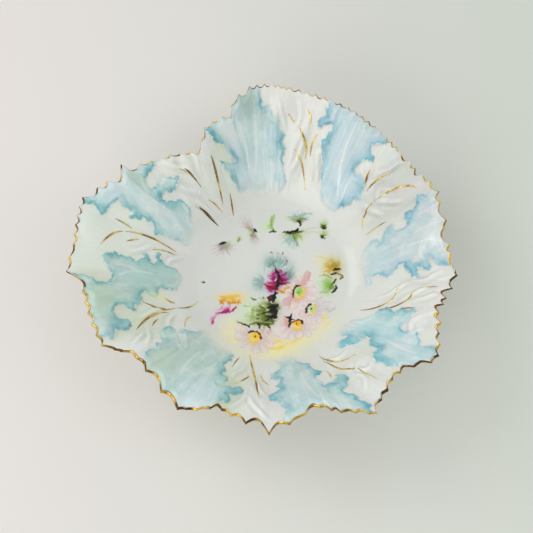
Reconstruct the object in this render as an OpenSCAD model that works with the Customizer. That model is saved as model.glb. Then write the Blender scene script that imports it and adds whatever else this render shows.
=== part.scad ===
// Leaf-moulded porcelain serving bowl.
// A ruffled, saw-edged porcelain shell, a foot ring luted under it, a burnished
// gold band over the rim, and eight raised gold sprigs between the moulded leaves.
// Frame: the origin is the centre of the foot ring on the table, +Z is up.
// Lengths are in millimetres and angles in degrees.

/* [Shell] */
// Width of the rim across its widest leaves, mm
rim_span = 256; // [230:2:280]
// Height of the rim at its mean radius, mm
rim_h = 66; // [54:1:76]
// Rise of the rim for each mm that it reaches outward
rim_rise = 0.3; // [0:0.05:0.4]
// Radius of the flat floor of the well, mm
well_r = 52; // [48:1:56]
// Depth of the saw teeth, as a factor
tooth_gain = 1; // [0.4:0.1:1.3]
// Height of the leaf crests in the wall, mm
crest_h = 2; // [0:0.5:4]
// Half width of a leaf crest, degrees
crest_w = 13; // [9:1:18]
// Thickness of the floor, mm
floor_t = 4.4; // [3.6:0.2:5]
// Thickness of the shell at the rim, mm
rim_t = 2.6; // [2:0.1:3.2]

/* [Foot] */
// Height of the foot ring, mm
foot_h = 4.6; // [4.6:0.2:8]
// Mean radius of the foot ring, mm
foot_r = 45; // [40:0.5:46]
// Width of the face that stands on the table, mm
foot_w = 2.8; // [2:0.2:4]

/* [Gilding] */
// Thickness of the gold band, mm
gilt_t = 0.25; // [0.2:0.05:0.5]
// Height of the gold sprigs above the glaze, mm
sprig_t = 0.35; // [0.25:0.05:0.6]
// Width of the sprig strokes, as a factor
sprig_gain = 1; // [0.7:0.1:1.3]

/* [Hidden] */
grow = rim_span / 256;
floor_z = foot_h + floor_t;
wall_end = 0.9;
band_end = 0.985;
sunk = 0.25;
porcelain = [0.93, 0.94, 0.92];
gold = [0.78, 0.6, 0.24];

// Angle of the centre of each moulded leaf.
leaves = [18, 64, 104, 150, 189, 226, 290, 335];

// The rim: angle, radius, hollow of the arc to the next row, teeth, tooth depth.
rim_rows = [
  [20, 118, 3, 6, 1.7],
  [46, 112, -1, 6, 1.5],
  [72, 116.5, -1, 6, 1.5],
  [97, 120, 3, 5, 1.8],
  [117, 98, 2, 2, 1.5],
  [125, 89, 0, 5, 1.5],
  [147, 108, 0, 1, 0.8],
  [150, 118, 4, 4, 1.8],
  [165, 131, 3, 6, 1.8],
  [188.5, 135, 5, 6, 2],
  [212, 128, -1, 2, 1.5],
  [220, 115, 0, 2, 1.8],
  [227, 118, 0, 4, 2.2],
  [241, 125.5, 0, 3, 1.8],
  [252, 115, 0, 4, 2.2],
  [269, 127, 1, 3, 1.6],
  [283, 112, 0, 5, 1.4],
  [300, 130, 2, 3, 1.8],
  [312, 117, 1, 4, 1.6],
  [324, 131, 2, 4, 1.8],
  [339, 115, 0, 3, 3.2],
  [353, 122, 6, 6, 2.2]
];

// Each stroke: angle and radius at its start, middle and end, then its width.
sprig_strokes = [
  [
    [135.8, 91, 132.6, 83.7, 131.3, 76, 1.8],
    [139.2, 71.3, 136.1, 63.7, 134.3, 55, 2],
    [119.5, 85.8, 120.4, 77.2, 123.9, 62.2, 2.2],
    [130.8, 68.7, 128.2, 64, 126.5, 58.4, 1.2],
    [116.7, 66.2, 118.3, 60, 120.5, 54, 1.4]
  ],
  [
    [178.3, 115, 173, 109, 169.9, 102.6, 1.6],
    [169.5, 101.5, 166.5, 86.4, 167.1, 68.8, 2],
    [167.1, 98, 166.6, 102.6, 166.6, 109.7, 1.2],
    [169.9, 92.5, 171.4, 96, 173.3, 99.8, 1.4],
    [168.8, 68.3, 169.9, 76.9, 172, 84, 1.4]
  ],
  [
    [199.6, 54.5, 202.7, 62, 202.5, 71, 1.4],
    [202.5, 72, 202.6, 82.4, 198.7, 92, 2.2],
    [204.7, 77.5, 206, 90.4, 210.8, 103.5, 2],
    [207.6, 86, 208.5, 89, 210.2, 92, 1.2],
    [199.3, 70.5, 198.1, 74.2, 195.7, 76.7, 1.5],
    [209.7, 64, 210.7, 68.8, 214.9, 72.5, 1.6]
  ],
  [
    [255.2, 60.5, 261.1, 78.2, 265.1, 100.9, 2],
    [259, 81.5, 257.4, 86, 254.2, 90.8, 1.6],
    [250.4, 64.8, 249.5, 69.6, 249.4, 76.4, 1.1],
    [263.6, 76, 265.6, 80.8, 268.5, 85, 1.3]
  ],
  [
    [297.6, 69, 302, 81.4, 310.1, 85.9, 2.2],
    [297.3, 74.2, 300.7, 87.5, 304.7, 96.5, 1.8],
    [305, 97.5, 305.9, 103.7, 306.6, 111.5, 1.3],
    [295, 83.6, 295.4, 88.2, 294.6, 92, 1.6]
  ],
  [
    [335.4, 66.3, 339.2, 80.3, 346.5, 88.4, 1.5],
    [336.2, 78, 338.8, 91, 344.4, 100.8, 1.5],
    [344.7, 101.6, 345.6, 107, 345.5, 111.5, 1.1],
    [336.4, 93, 337, 97, 336.8, 101.5, 1.2]
  ],
  [
    [43.4, 94.6, 42.4, 90, 41, 85.2, 1.4],
    [35.8, 100.3, 38.3, 92.3, 38.9, 84.3, 1.6],
    [24.4, 108.5, 29.1, 99.8, 32.4, 84.3, 1.8],
    [32.6, 83.3, 31.6, 77, 26.5, 70.8, 1.8],
    [21.4, 84.4, 22.1, 77, 22, 70.8, 1]
  ],
  [
    [77, 109.4, 75.1, 105, 74.9, 100.5, 1.4],
    [78.8, 99.1, 75, 91, 73.8, 83, 2.4],
    [70.7, 97, 72, 91.6, 71.6, 85, 1.8],
    [79.5, 87.7, 74.7, 79.8, 69.5, 67.2, 1.4],
    [84, 105.4, 82.4, 103, 81, 101, 1]
  ]
];

rows = len(rim_rows);

// Rim radius without its teeth, on the arc that starts at row i.
function arc_r(i, u) =
  let (a = rim_rows[i], b = rim_rows[(i + 1) % rows])
  grow * (a[1] + (b[1] - a[1]) * u - a[2] * sin(180 * u));

function arc_a(i, u) =
  let (a = rim_rows[i][0], b = rim_rows[(i + 1) % rows][0])
  a + (b + (b < a ? 360 : 0) - a) * u;

function tooth_r(i, u) =
  arc_r(i, u) - tooth_gain * rim_rows[i][4] * abs(sin(180 * rim_rows[i][3] * u));

// Rim samples, four to a tooth: angle, radius with teeth, radius without them.
rim_pts = [
  for (i = [0:rows - 1])
    for (k = [0:4 * rim_rows[i][3] - 1])
      let (u = k / (4 * rim_rows[i][3]))
      [arc_a(i, u), tooth_r(i, u), arc_r(i, u)]
];
n_rim = len(rim_pts);
n_wall = n_rim / 2;

function turn(d) = d - 360 * round(d / 360);

function crest(a, i = 0) =
  i == len(leaves) ? 0 : exp(-pow(turn(a - leaves[i]) / crest_w, 2)) + crest(a, i + 1);

// Rise of the wall from the well at s = 0 to the rim at s = 1.
function rise(s) = s <= 0 ? 0 : pow(s, 1.6) * (1.8 - 0.8 * s);

function rim_top(smooth) = rim_h + rim_rise * (smooth - 120);

// Height of the inner wall at angle a and share s of the way out.
function wall_z(a, s, smooth) =
  floor_z + (rim_top(smooth) - floor_z) * rise(s) + crest_h * crest(a) * max(0, s) * max(0, s);

function slope(a, s, r, smooth) =
  s <= 0 ? 0 :
  atan2(wall_z(a, s + 0.01, smooth) - wall_z(a, s - 0.01, smooth), 0.02 * (r - well_r));

function polar(a, r, z) = [r * cos(a), r * sin(a), z];

// A point t below the inner surface, square to the wall; t = 0 is on it.
function skin(a, s, r_edge, smooth, t) =
  let (f = slope(a, s, r_edge, smooth), r = well_r + (r_edge - well_r) * s)
  polar(a, r + t * sin(f), wall_z(a, s, smooth) - t * cos(f));

function shell_t(s) = floor_t + (rim_t - floor_t) * min(1, max(0, s));

function wall_ring(s, t) =
  [for (m = [0:n_wall - 1]) let (p = rim_pts[2 * m]) skin(p[0], s, p[2], p[2], t)];

function rim_ring(s, t) = [for (p = rim_pts) skin(p[0], s, p[1], p[2], t)];

function join(lists) = [for (l = lists) for (v = l) v];

// Faces between two rings of n points that start at index p and q.
function same_band(p, q, n) = join([
  for (m = [0:n - 1])
    let (k = (m + 1) % n)
    [[p + m, q + m, q + k], [p + m, q + k, p + k]]
]);

// Faces between a ring of n points at p and a ring of 2 n points at q.
function fine_band(p, q, n) = join([
  for (m = [0:n - 1])
    let (k = (m + 1) % n, h = 2 * m, e = (2 * m + 2) % (2 * n))
    [[p + m, q + h, q + h + 1], [p + m, q + h + 1, p + k], [p + k, q + h + 1, q + e]]
]);

function flip(faces) = [for (f = faces) [f[2], f[1], f[0]]];

function fan(c, p, n) = [for (m = [0:n - 1]) [c, p + m, p + (m + 1) % n]];

shares = [0, 0.12, 0.25, 0.38, 0.52, 0.66, 0.79, wall_end];
n_sh = len(shares);

module bowl_body() {
  inner = join([for (s = shares) wall_ring(s, 0)]);
  edge = join([rim_ring(band_end, 0), rim_ring(1, 0)]);
  back = join([rim_ring(1, rim_t), rim_ring(band_end, shell_t(band_end))]);
  outer = join([for (s = shares) wall_ring(s, shell_t(s))]);
  centre = [[0, 0, floor_z], [0, 0, floor_z - floor_t]];
  i0 = 2;
  e0 = i0 + n_sh * n_wall;
  o0 = e0 + 4 * n_rim;
  faces = join([
    fan(0, i0, n_wall),
    join([for (k = [0:n_sh - 2]) same_band(i0 + k * n_wall, i0 + (k + 1) * n_wall, n_wall)]),
    fine_band(i0 + (n_sh - 1) * n_wall, e0, n_wall),
    join([for (k = [0:2]) same_band(e0 + k * n_rim, e0 + (k + 1) * n_rim, n_rim)]),
    flip(fine_band(o0 + (n_sh - 1) * n_wall, e0 + 3 * n_rim, n_wall)),
    flip(join([for (k = [0:n_sh - 2]) same_band(o0 + k * n_wall, o0 + (k + 1) * n_wall, n_wall)])),
    flip(fan(1, o0, n_wall))
  ]);
  color(porcelain) polyhedron(join([centre, inner, edge, back, outer]), flip(faces), 4);
}

module foot_ring() {
  color(porcelain) rotate_extrude($fn = 96)
    polygon([
      [foot_r - foot_w / 2 - 1.8, foot_h],
      [foot_r - foot_w / 2 - 0.6, 0.6],
      [foot_r - foot_w / 2, 0],
      [foot_r + foot_w / 2, 0],
      [foot_r + foot_w / 2 + 0.6, 0.6],
      [foot_r + foot_w / 2 + 1.8, foot_h]
    ]);
}

// The band follows the rim's own points, so the two faces meet everywhere.
module gilt_rim() {
  rings = join([
    rim_ring(band_end, 0),
    rim_ring(1, 0),
    rim_ring(1, rim_t),
    rim_ring(band_end, shell_t(band_end)),
    rim_ring(band_end, shell_t(band_end) + gilt_t),
    rim_ring(1 + gilt_t / 40, rim_t + gilt_t),
    rim_ring(1 + gilt_t / 40, -gilt_t),
    rim_ring(band_end, -gilt_t)
  ]);
  faces = join([
    for (k = [0:7]) same_band(k * n_rim, ((k + 1) % 8) * n_rim, n_rim)
  ]);
  color(gold) polyhedron(rings, faces, 4);
}

function share(a, r) =
  let (e = lookup_edge(a)) (r - well_r) / (e - well_r);

// Smooth rim radius at any angle.
function lookup_edge(a) =
  let (
    b = a < rim_rows[0][0] ? a + 360 : a,
    i = max([for (k = [0:rows - 1]) rim_rows[k][0] <= b ? k : 0]),
    w = arc_a(i, 1) - arc_a(i, 0)
  )
  arc_r(i, (b - rim_rows[i][0]) / w);

function on_wall(a, r, t) =
  let (e = lookup_edge(a), s = share(a, r)) skin(a, s, e, e, t);

// The curve through the three points of a stroke, u from 0 to 1.
function along(k, u) =
  let (ca = 2 * k[2] - (k[0] + k[4]) / 2, cr = 2 * k[3] - (k[1] + k[5]) / 2)
  [
    (1 - u) * (1 - u) * k[0] + 2 * u * (1 - u) * ca + u * u * k[4],
    grow * ((1 - u) * (1 - u) * k[1] + 2 * u * (1 - u) * cr + u * u * k[5])
  ];

// Four corners of a stroke's section, turned square to its run.
function section(k, u) =
  let (
    p = along(k, u),
    q = along(k, u + 0.01),
    run = [p[1] * (q[0] - p[0]) * PI / 180, q[1] - p[1]],
    side = [run[1], -run[0]] / norm(run),
    w = sprig_gain * k[6] * (0.18 + 0.82 * pow(sin(18 + 150 * u), 1.2)) / 2,
    da = side[0] * w / p[1] * 180 / PI,
    dr = side[1] * w
  )
  [
    on_wall(p[0] - da, p[1] - dr, sunk),
    on_wall(p[0] + da, p[1] + dr, sunk),
    on_wall(p[0] + da * 0.7, p[1] + dr * 0.7, -sprig_t),
    on_wall(p[0] - da * 0.7, p[1] - dr * 0.7, -sprig_t)
  ];

module stroke(k) {
  n = 8;
  pts = join([for (j = [0:n]) section(k, j / n)]);
  sides = join([
    for (j = [0:n - 1])
      for (c = [0:3])
        let (d = (c + 1) % 4, b = 4 * j)
        [[b + c, b + d, b + 4 + d], [b + c, b + 4 + d, b + 4 + c]]
  ]);
  ends = [[0, 2, 1], [0, 3, 2], [4 * n, 4 * n + 1, 4 * n + 2], [4 * n, 4 * n + 2, 4 * n + 3]];
  polyhedron(pts, join([sides, ends]), 4);
}

module sprig(i) {
  color(gold)
    for (k = sprig_strokes[i - 1])
      stroke(k);
}

module gilt_sprig_1() {
  sprig(1);
}

module gilt_sprig_2() {
  sprig(2);
}

module gilt_sprig_3() {
  sprig(3);
}

module gilt_sprig_4() {
  sprig(4);
}

module gilt_sprig_5() {
  sprig(5);
}

module gilt_sprig_6() {
  sprig(6);
}

module gilt_sprig_7() {
  sprig(7);
}

module gilt_sprig_8() {
  sprig(8);
}

bowl_body();
foot_ring();
gilt_rim();
gilt_sprig_1();
gilt_sprig_2();
gilt_sprig_3();
gilt_sprig_4();
gilt_sprig_5();
gilt_sprig_6();
gilt_sprig_7();
gilt_sprig_8();
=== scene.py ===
"""Looks for the leaf-moulded porcelain serving bowl.

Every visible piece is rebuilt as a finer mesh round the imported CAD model: the
shell with its moulded leaves and painted enamel, the foot ring, the gold band
on the rim and the eight gold sprigs. Plans and heights are in millimetres and
angles in degrees, anticlockwise from +X, as in the CAD; vertices are in metres.
"""

import bpy
import numpy as np
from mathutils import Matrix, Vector


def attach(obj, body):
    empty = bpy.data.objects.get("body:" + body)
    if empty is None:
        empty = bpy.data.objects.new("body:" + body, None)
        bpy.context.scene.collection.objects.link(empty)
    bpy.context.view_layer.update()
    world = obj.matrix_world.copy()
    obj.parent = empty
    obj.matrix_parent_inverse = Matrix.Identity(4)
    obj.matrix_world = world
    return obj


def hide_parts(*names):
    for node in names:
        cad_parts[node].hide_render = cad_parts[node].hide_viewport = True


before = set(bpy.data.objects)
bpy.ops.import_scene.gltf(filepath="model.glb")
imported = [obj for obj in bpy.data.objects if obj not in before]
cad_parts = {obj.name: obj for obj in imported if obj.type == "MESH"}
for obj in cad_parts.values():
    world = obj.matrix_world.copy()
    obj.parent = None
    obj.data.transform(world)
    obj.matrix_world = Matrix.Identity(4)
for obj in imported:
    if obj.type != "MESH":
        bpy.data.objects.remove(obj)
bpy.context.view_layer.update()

MM = 0.001
rng = np.random.RandomState(7)

# ---------------------------------------------------------------- dimensions

FOOT_R = 45.0  # the foot ring's middle radius
FLOOR_Z = 9.0  # height of the well above the table
WELL_R = 52.0
RIM_H = 66.0  # height of the rim where its radius is RIM_R
RIM_R = 120.0
RIM_RISE = 0.3  # rise of the rim for each mm that it reaches farther out
FLOOR_T = 4.4
RIM_T = 2.6
CREST_H = 2.0  # the wall's lift along the middle of each leaf
CREST_W = 13.0  # its half width in degrees
LIP_T = 2.0
LIP_RUN = 0.07  # the share of the wall over which it thins to the lip
EDGE_BULGE = 0.55  # how far the rounded edge stands out past the lip
# Middles of the eight moulded leaves.
LEAVES = (18, 64, 104, 150, 189, 226, 290, 335)

# The wall's own rim, as in the CAD: angle, radius, hollow of the arc to the next row.
WALL_ROWS = [
    (20, 118, 3), (46, 112, -1), (72, 116.5, -1), (97, 120, 3), (117, 98, 2),
    (125, 89, 0), (147, 108, 0), (150, 118, 4), (165, 131, 3), (188.5, 135, 5),
    (212, 128, -1), (220, 115, 0), (227, 118, 0), (241, 125.5, 0), (252, 115, 0),
    (269, 127, 1), (283, 112, 0), (300, 130, 2), (312, 117, 1), (324, 131, 2),
    (339, 115, 0), (353, 122, 6),
]

# The saw edge: angle, radius, and where a row has them, the number of even teeth up
# to the next row and their depth. Without them, a stretch falls steeply from its
# higher end, which is a point, and runs out flat at the lower one.
EDGE_ROWS = [
    (3, 112.7), (4.5, 112.2), (6.6, 114.2), (8.8, 116.6), (13, 113.4), (15.6, 116), (17.4, 114.6),
    (19.2, 117.8), (22, 114.8), (23.6, 116), (25, 113.4), (27, 114), (29, 110.4), (30.6, 112.4),
    (32, 111), (33.6, 113), (36, 110), (38.4, 112, 3, 1.6), (46, 112.6, 5, 1.3),
    (60, 115, 4, 1.2), (72, 116.6, 4, 1.6), (84, 119.4, 3, 1.4), (90, 121.2, 3, 1.6),
    (97.5, 120, 1, 3), (101.5, 115), (105, 109), (106, 102.4), (110, 103.8, 2, 1.3),
    (117.5, 100.5), (119.5, 95), (121, 94), (125, 88.3), (127, 91.4, 2, 1), (135, 98, 2, 1.3),
    (142.5, 104.6, 2, 1.2), (149.2, 110.4), (150, 117.6), (154.6, 113.4), (157.2, 120),
    (159, 119.4), (160.6, 124), (162.4, 123.4), (165.2, 130.6, 5, 1.7), (180, 130.4, 2, 1.4),
    (188.8, 135), (192.6, 125.2), (195.2, 127, 5, 1.9), (213, 129.4), (216, 123.6), (217.4, 121),
    (220, 115.4), (222, 116), (224, 114.4), (227, 117.6), (230, 114.8), (235, 122.4),
    (237, 120.4), (242, 126.6), (244, 123.8), (247, 121.4), (249, 118), (250.6, 117), (252, 113),
    (254, 115.4), (255.4, 114.8), (257.2, 117.8), (259, 115.8), (262, 121.4), (265, 116.8),
    (269, 128), (272, 119.4), (275, 121.4), (277.4, 117.4), (280, 116.2), (283, 111),
    (285, 113.4), (286.4, 112.8), (288.2, 117.6), (289.6, 117), (290.4, 121.4), (292.4, 121.4),
    (294.4, 125.4), (295.6, 125), (297.4, 130), (299.3, 131.8), (300.8, 125.8), (303, 125.4),
    (304.4, 122.2), (306.2, 122.8), (308.4, 118.4), (309.6, 118.8), (311.4, 116.4), (313, 118.8),
    (315, 116.8), (317, 122.4), (319.4, 123.4), (320.8, 129.6), (322, 128.6), (323.8, 130.4),
    (325.4, 126.8), (327, 127), (328.6, 122.6), (330, 122.6), (331.6, 119.6), (333.2, 121),
    (335, 116), (336.4, 117), (338.3, 113.6), (339.2, 118), (340.5, 116), (341.6, 118.4),
    (343.8, 114.4), (345.2, 120.4), (347.2, 118), (349.8, 122), (351.8, 120.4), (353.6, 118.4),
    (355, 116.6), (357.7, 117.4), (358.8, 115), (360.4, 117),
]

# ------------------------------------------------------------------- helpers


def smooth(x, lo=0.0, hi=1.0):
    """0 below lo, 1 above hi and an easy curve between; lo may be the larger."""
    t = np.clip((x - lo) / (hi - lo), 0, 1)
    return t * t * (3 - 2 * t)


def bell(x, width):
    """A bell curve, 1 at zero."""
    return np.exp(-((x / width) ** 2))


def turn(degrees):
    """An angle brought between -180 and 180."""
    return (degrees + 180) % 360 - 180


def polar(angle, radius):
    """Plan coordinates of an angle and a radius."""
    a = np.radians(angle)
    return radius * np.cos(a), radius * np.sin(a)


def spline(points, steps, closed=False):
    """A smooth curve through points, with steps between each two of them."""
    p = np.asarray(points, float)
    if closed:
        p = np.concatenate([p[-1:], p, p[:2]])
    else:
        p = np.concatenate([2 * p[:1] - p[1:2], p, 2 * p[-1:] - p[-2:-1]])
    u = (np.arange(steps) / steps)[:, None]
    out = []
    for a, b, c, d in zip(p, p[1:], p[2:], p[3:]):
        out.append(
            b + 0.5 * u * ((c - a) + u * ((2 * a - 5 * b + 4 * c - d)
            + u * (3 * (b - c) + d - a)))
        )
    if not closed:
        out.append(p[-2:-1])
    return np.concatenate(out)


def lattice(u, v, seed, wrap=256):
    """Smooth value noise from 0 to 1 at u, v, whose cells are 1 wide."""
    table = np.random.RandomState(seed).rand(wrap, wrap).astype(np.float32)
    i, j = np.floor(u).astype(int), np.floor(v).astype(int)
    fu, fv = u - i, v - j
    fu, fv = fu * fu * (3 - 2 * fu), fv * fv * (3 - 2 * fv)
    i0, i1, j0, j1 = i % wrap, (i + 1) % wrap, j % wrap, (j + 1) % wrap
    near = table[i0, j0] * (1 - fv) + table[i0, j1] * fv
    far = table[i1, j0] * (1 - fv) + table[i1, j1] * fv
    return near * (1 - fu) + far * fu


def cloud(u, v, seed, octaves=3):
    """Several sizes of noise laid over each other, from 0 to 1."""
    total, weight, norm = 0.0, 1.0, 0.0
    for k in range(octaves):
        total = total + weight * lattice(u * 2**k, v * 2**k, seed + k)
        norm += weight
        weight *= 0.5
    return total / norm


# ---------------------------------------------------------- rim and the wall


def between(rows, angle):
    """The rows of a closed table on each side of an angle, and how far it is between."""
    first = rows[0]
    a = np.where(angle % 360 < first[0], angle % 360 + 360, angle % 360)
    table = np.array(rows + [(first[0] + 360,) + first[1:]])
    i = np.clip(np.searchsorted(table[:, 0], a, side="right") - 1, 0, len(rows) - 1)
    before, after = np.moveaxis(table[i], -1, 0), np.moveaxis(table[i + 1], -1, 0)
    return before, after, (a - before[0]) / (after[0] - before[0])


def wall_rim(angle):
    """The rim radius that the wall's height follows, without teeth."""
    before, after, u = between(WALL_ROWS, angle)
    return before[1] + (after[1] - before[1]) * u - before[2] * np.sin(np.pi * u)


def saw_rim(angle):
    """The rim radius with its teeth."""
    before, after, u = between([row + (0, 0)[: 4 - len(row)] for row in EDGE_ROWS], angle)
    (_, r0, teeth, depth), r1 = before, after[1]
    falling = r1 + (r0 - r1) * (1 - np.sin(0.5 * np.pi * u))
    rising = r0 + (r1 - r0) * (1 - np.sin(0.5 * np.pi * (1 - u)))
    bare = np.where(r0 > r1, falling, rising)
    toothed = r0 + (r1 - r0) * u - depth * np.abs(np.sin(np.pi * teeth * u))
    return np.where(teeth > 0, toothed, bare)


def crest(angle):
    """1 along the middle of each leaf, dying away on both sides."""
    return sum(bell(turn(angle - leaf), CREST_W) for leaf in LEAVES)


def wall_z(angle, share):
    """Height of the inner wall at a share of the way from the well to the rim."""
    s = np.clip(share, 0, None)
    top = RIM_H + RIM_RISE * (wall_rim(angle) - RIM_R)
    rise = s**1.6 * (1.8 - 0.8 * s)
    return FLOOR_Z + (top - FLOOR_Z) * rise + CREST_H * crest(angle) * s * s


TOOTH_FADE = 0.8


def edge_radius(angle, share):
    """The radius that share 1 stands for: the teeth fade out down the wall."""
    blend = smooth(share, TOOTH_FADE, 1.0)
    return wall_rim(angle) + (saw_rim(angle) - wall_rim(angle)) * blend


def wall_frame(angle, share):
    """Radius, height and slope angle of the inner wall, before its relief."""
    r = WELL_R + (edge_radius(angle, share) - WELL_R) * share
    width = wall_rim(angle) - WELL_R
    up = (r - WELL_R) / width
    z = wall_z(angle, up)
    slope = np.arctan2(wall_z(angle, up + 0.01) - wall_z(angle, up - 0.01), 0.02 * width)
    slope = np.where(up <= 0, 0.0, slope)
    return r, z, slope


def place(angle, r, z):
    """A point from its angle, radius and height."""
    a = np.radians(angle)
    return np.stack([r * np.cos(a), r * np.sin(a), z], -1)


def skin(angle, share, lift):
    """A point lift above the inner wall, square to it."""
    r, z, f = wall_frame(angle, share)
    return place(angle, r - lift * np.sin(f), z + lift * np.cos(f))


# -------------------------------------------------------- the painting, in mm

CELL = 0.25
HALF = 140.0
COUNT = int(2 * HALF / CELL)
axis_mm = (np.arange(COUNT) + 0.5) * CELL - HALF
X, Y = np.meshgrid(axis_mm, axis_mm)
RAD = np.hypot(X, Y)
ANG = np.degrees(np.arctan2(Y, X)) % 360

WHITE = (215, 216, 211)
paint = np.empty((COUNT, COUNT, 3), np.float32)
paint[:] = WHITE
relief = np.zeros((COUNT, COUNT), np.float32)

wobble = cloud(X / 9, Y / 9, 11) - 0.5
fine = cloud(X / 2.2, Y / 2.2, 21) - 0.5
# Streaks that run up the wall: narrow across, long along the radius.
streak = cloud(ANG * 1.1, RAD / 26, 31) - 0.5
thread = cloud(ANG * 2.6, RAD / 18, 41) - 0.5


def window(points, reach):
    """The slice of the painting that lies within reach of some points."""
    lo = np.floor((points.min(0) - reach + HALF) / CELL).astype(int)
    hi = np.ceil((points.max(0) + reach + HALF) / CELL).astype(int)
    lo, hi = np.clip(lo, 0, COUNT), np.clip(hi, 0, COUNT)
    return slice(lo[1], hi[1]), slice(lo[0], hi[0])


def measure(line, where):
    """Distance from each cell to a line, and how far along it the nearest place is."""
    x, y = X[where], Y[where]
    best = np.full(x.shape, 1e9)
    along = np.zeros(x.shape)
    for k, (p, q) in enumerate(zip(line, line[1:])):
        dx, dy = q[0] - p[0], q[1] - p[1]
        size = dx * dx + dy * dy + 1e-12
        t = np.clip(((x - p[0]) * dx + (y - p[1]) * dy) / size, 0, 1)
        d = (x - p[0] - t * dx) ** 2 + (y - p[1] - t * dy) ** 2
        closer = d < best
        best[closer] = d[closer]
        along[closer] = k + t[closer]
    return np.sqrt(best), along


def within(line, where):
    """True for each cell inside a closed line."""
    x, y = X[where], Y[where]
    hit = np.zeros(x.shape, bool)
    for p, q in zip(line, line[1:]):
        if p[1] == q[1]:
            continue
        span = (p[1] > y) != (q[1] > y)
        hit ^= span & (x < (q[0] - p[0]) * (y - p[1]) / (q[1] - p[1]) + p[0])
    return hit


def cover(where, colour, alpha):
    """Paint laid over a part of the painting."""
    alpha = np.clip(alpha, 0, 1)[..., None]
    paint[where] = paint[where] * (1 - alpha) + np.asarray(colour, float) * alpha


def stroke(colour, opacity, soft, points, steps=8):
    """A brush stroke through points, each with its own width: (x, y, width)."""
    p = np.asarray(points, float)
    if len(p) == 1:
        p = np.concatenate([p, p + (0.01, 0, 0)])
    line = spline(p, steps)
    where = window(line[:, :2], p[:, 2].max() / 2 + soft)
    d, along = measure(line[:, :2], where)
    half = np.interp(along, np.arange(len(line)), np.clip(line[:, 2], 0, None)) / 2
    cover(where, colour, opacity * np.clip(0.5 + (half - d) / soft, 0, 1))


def leaning(x, y, rx, ry, lean, reach):
    """The cells round x, y, and where each lies along and across a turned oval."""
    where = window(np.array([[x, y]]), reach)
    a = np.radians(lean)
    u = ((X[where] - x) * np.cos(a) + (Y[where] - y) * np.sin(a)) / rx
    v = (-(X[where] - x) * np.sin(a) + (Y[where] - y) * np.cos(a)) / ry
    return where, u, v


def wash(colour, opacity, x, y, rx, ry, lean=0.0, grain=0.0):
    """A soft-edged oval of colour, rx by ry at half strength, turned by lean."""
    reach = 2.2 * max(rx, ry)
    where, u, v = leaning(x, y, rx, ry, lean, reach)
    alpha = np.exp(-0.7 * (u * u + v * v)) * (1 + grain * 2 * fine[where])
    cover(where, colour, opacity * alpha)


def oval(colour, opacity, soft, x, y, rx, ry, lean=0.0):
    """A crisp oval of colour."""
    where, u, v = leaning(x, y, rx, ry, lean, max(rx, ry) + soft)
    d = (1 - np.hypot(u, v)) * min(rx, ry)
    cover(where, colour, opacity * np.clip(0.5 + d / soft, 0, 1))


# Tints sprayed over the panels between the leaves: colour, strength, first and
# last angle, the radius where it starts and the one where it is full.
TINTS = [
    ((204, 211, 193), 1.0, 110, 117, 58, 88),
    ((226, 228, 222), 1.0, 118, 134, 76, 100),
    ((217, 223, 212), 1.0, 160, 190, 66, 104),
    ((204, 209, 190), 0.9, 189, 214, 62, 100),
    ((196, 204, 180), 1.0, 244, 258, 62, 96),
    ((202, 204, 198), 1.0, 18, 40, 60, 84),
]


def paint_panels():
    """The pale tints between the leaves."""
    for colour, strength, first, last, start, full in TINTS:
        lean = ANG + 6 * wobble
        side = smooth(lean, first - 3, first + 3) * smooth(lean, last + 4, last - 4)
        alpha = strength * side * smooth(RAD + 14 * wobble, start, full)
        cover(np.s_[:, :], colour, alpha * (0.92 + 0.4 * streak))


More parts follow.
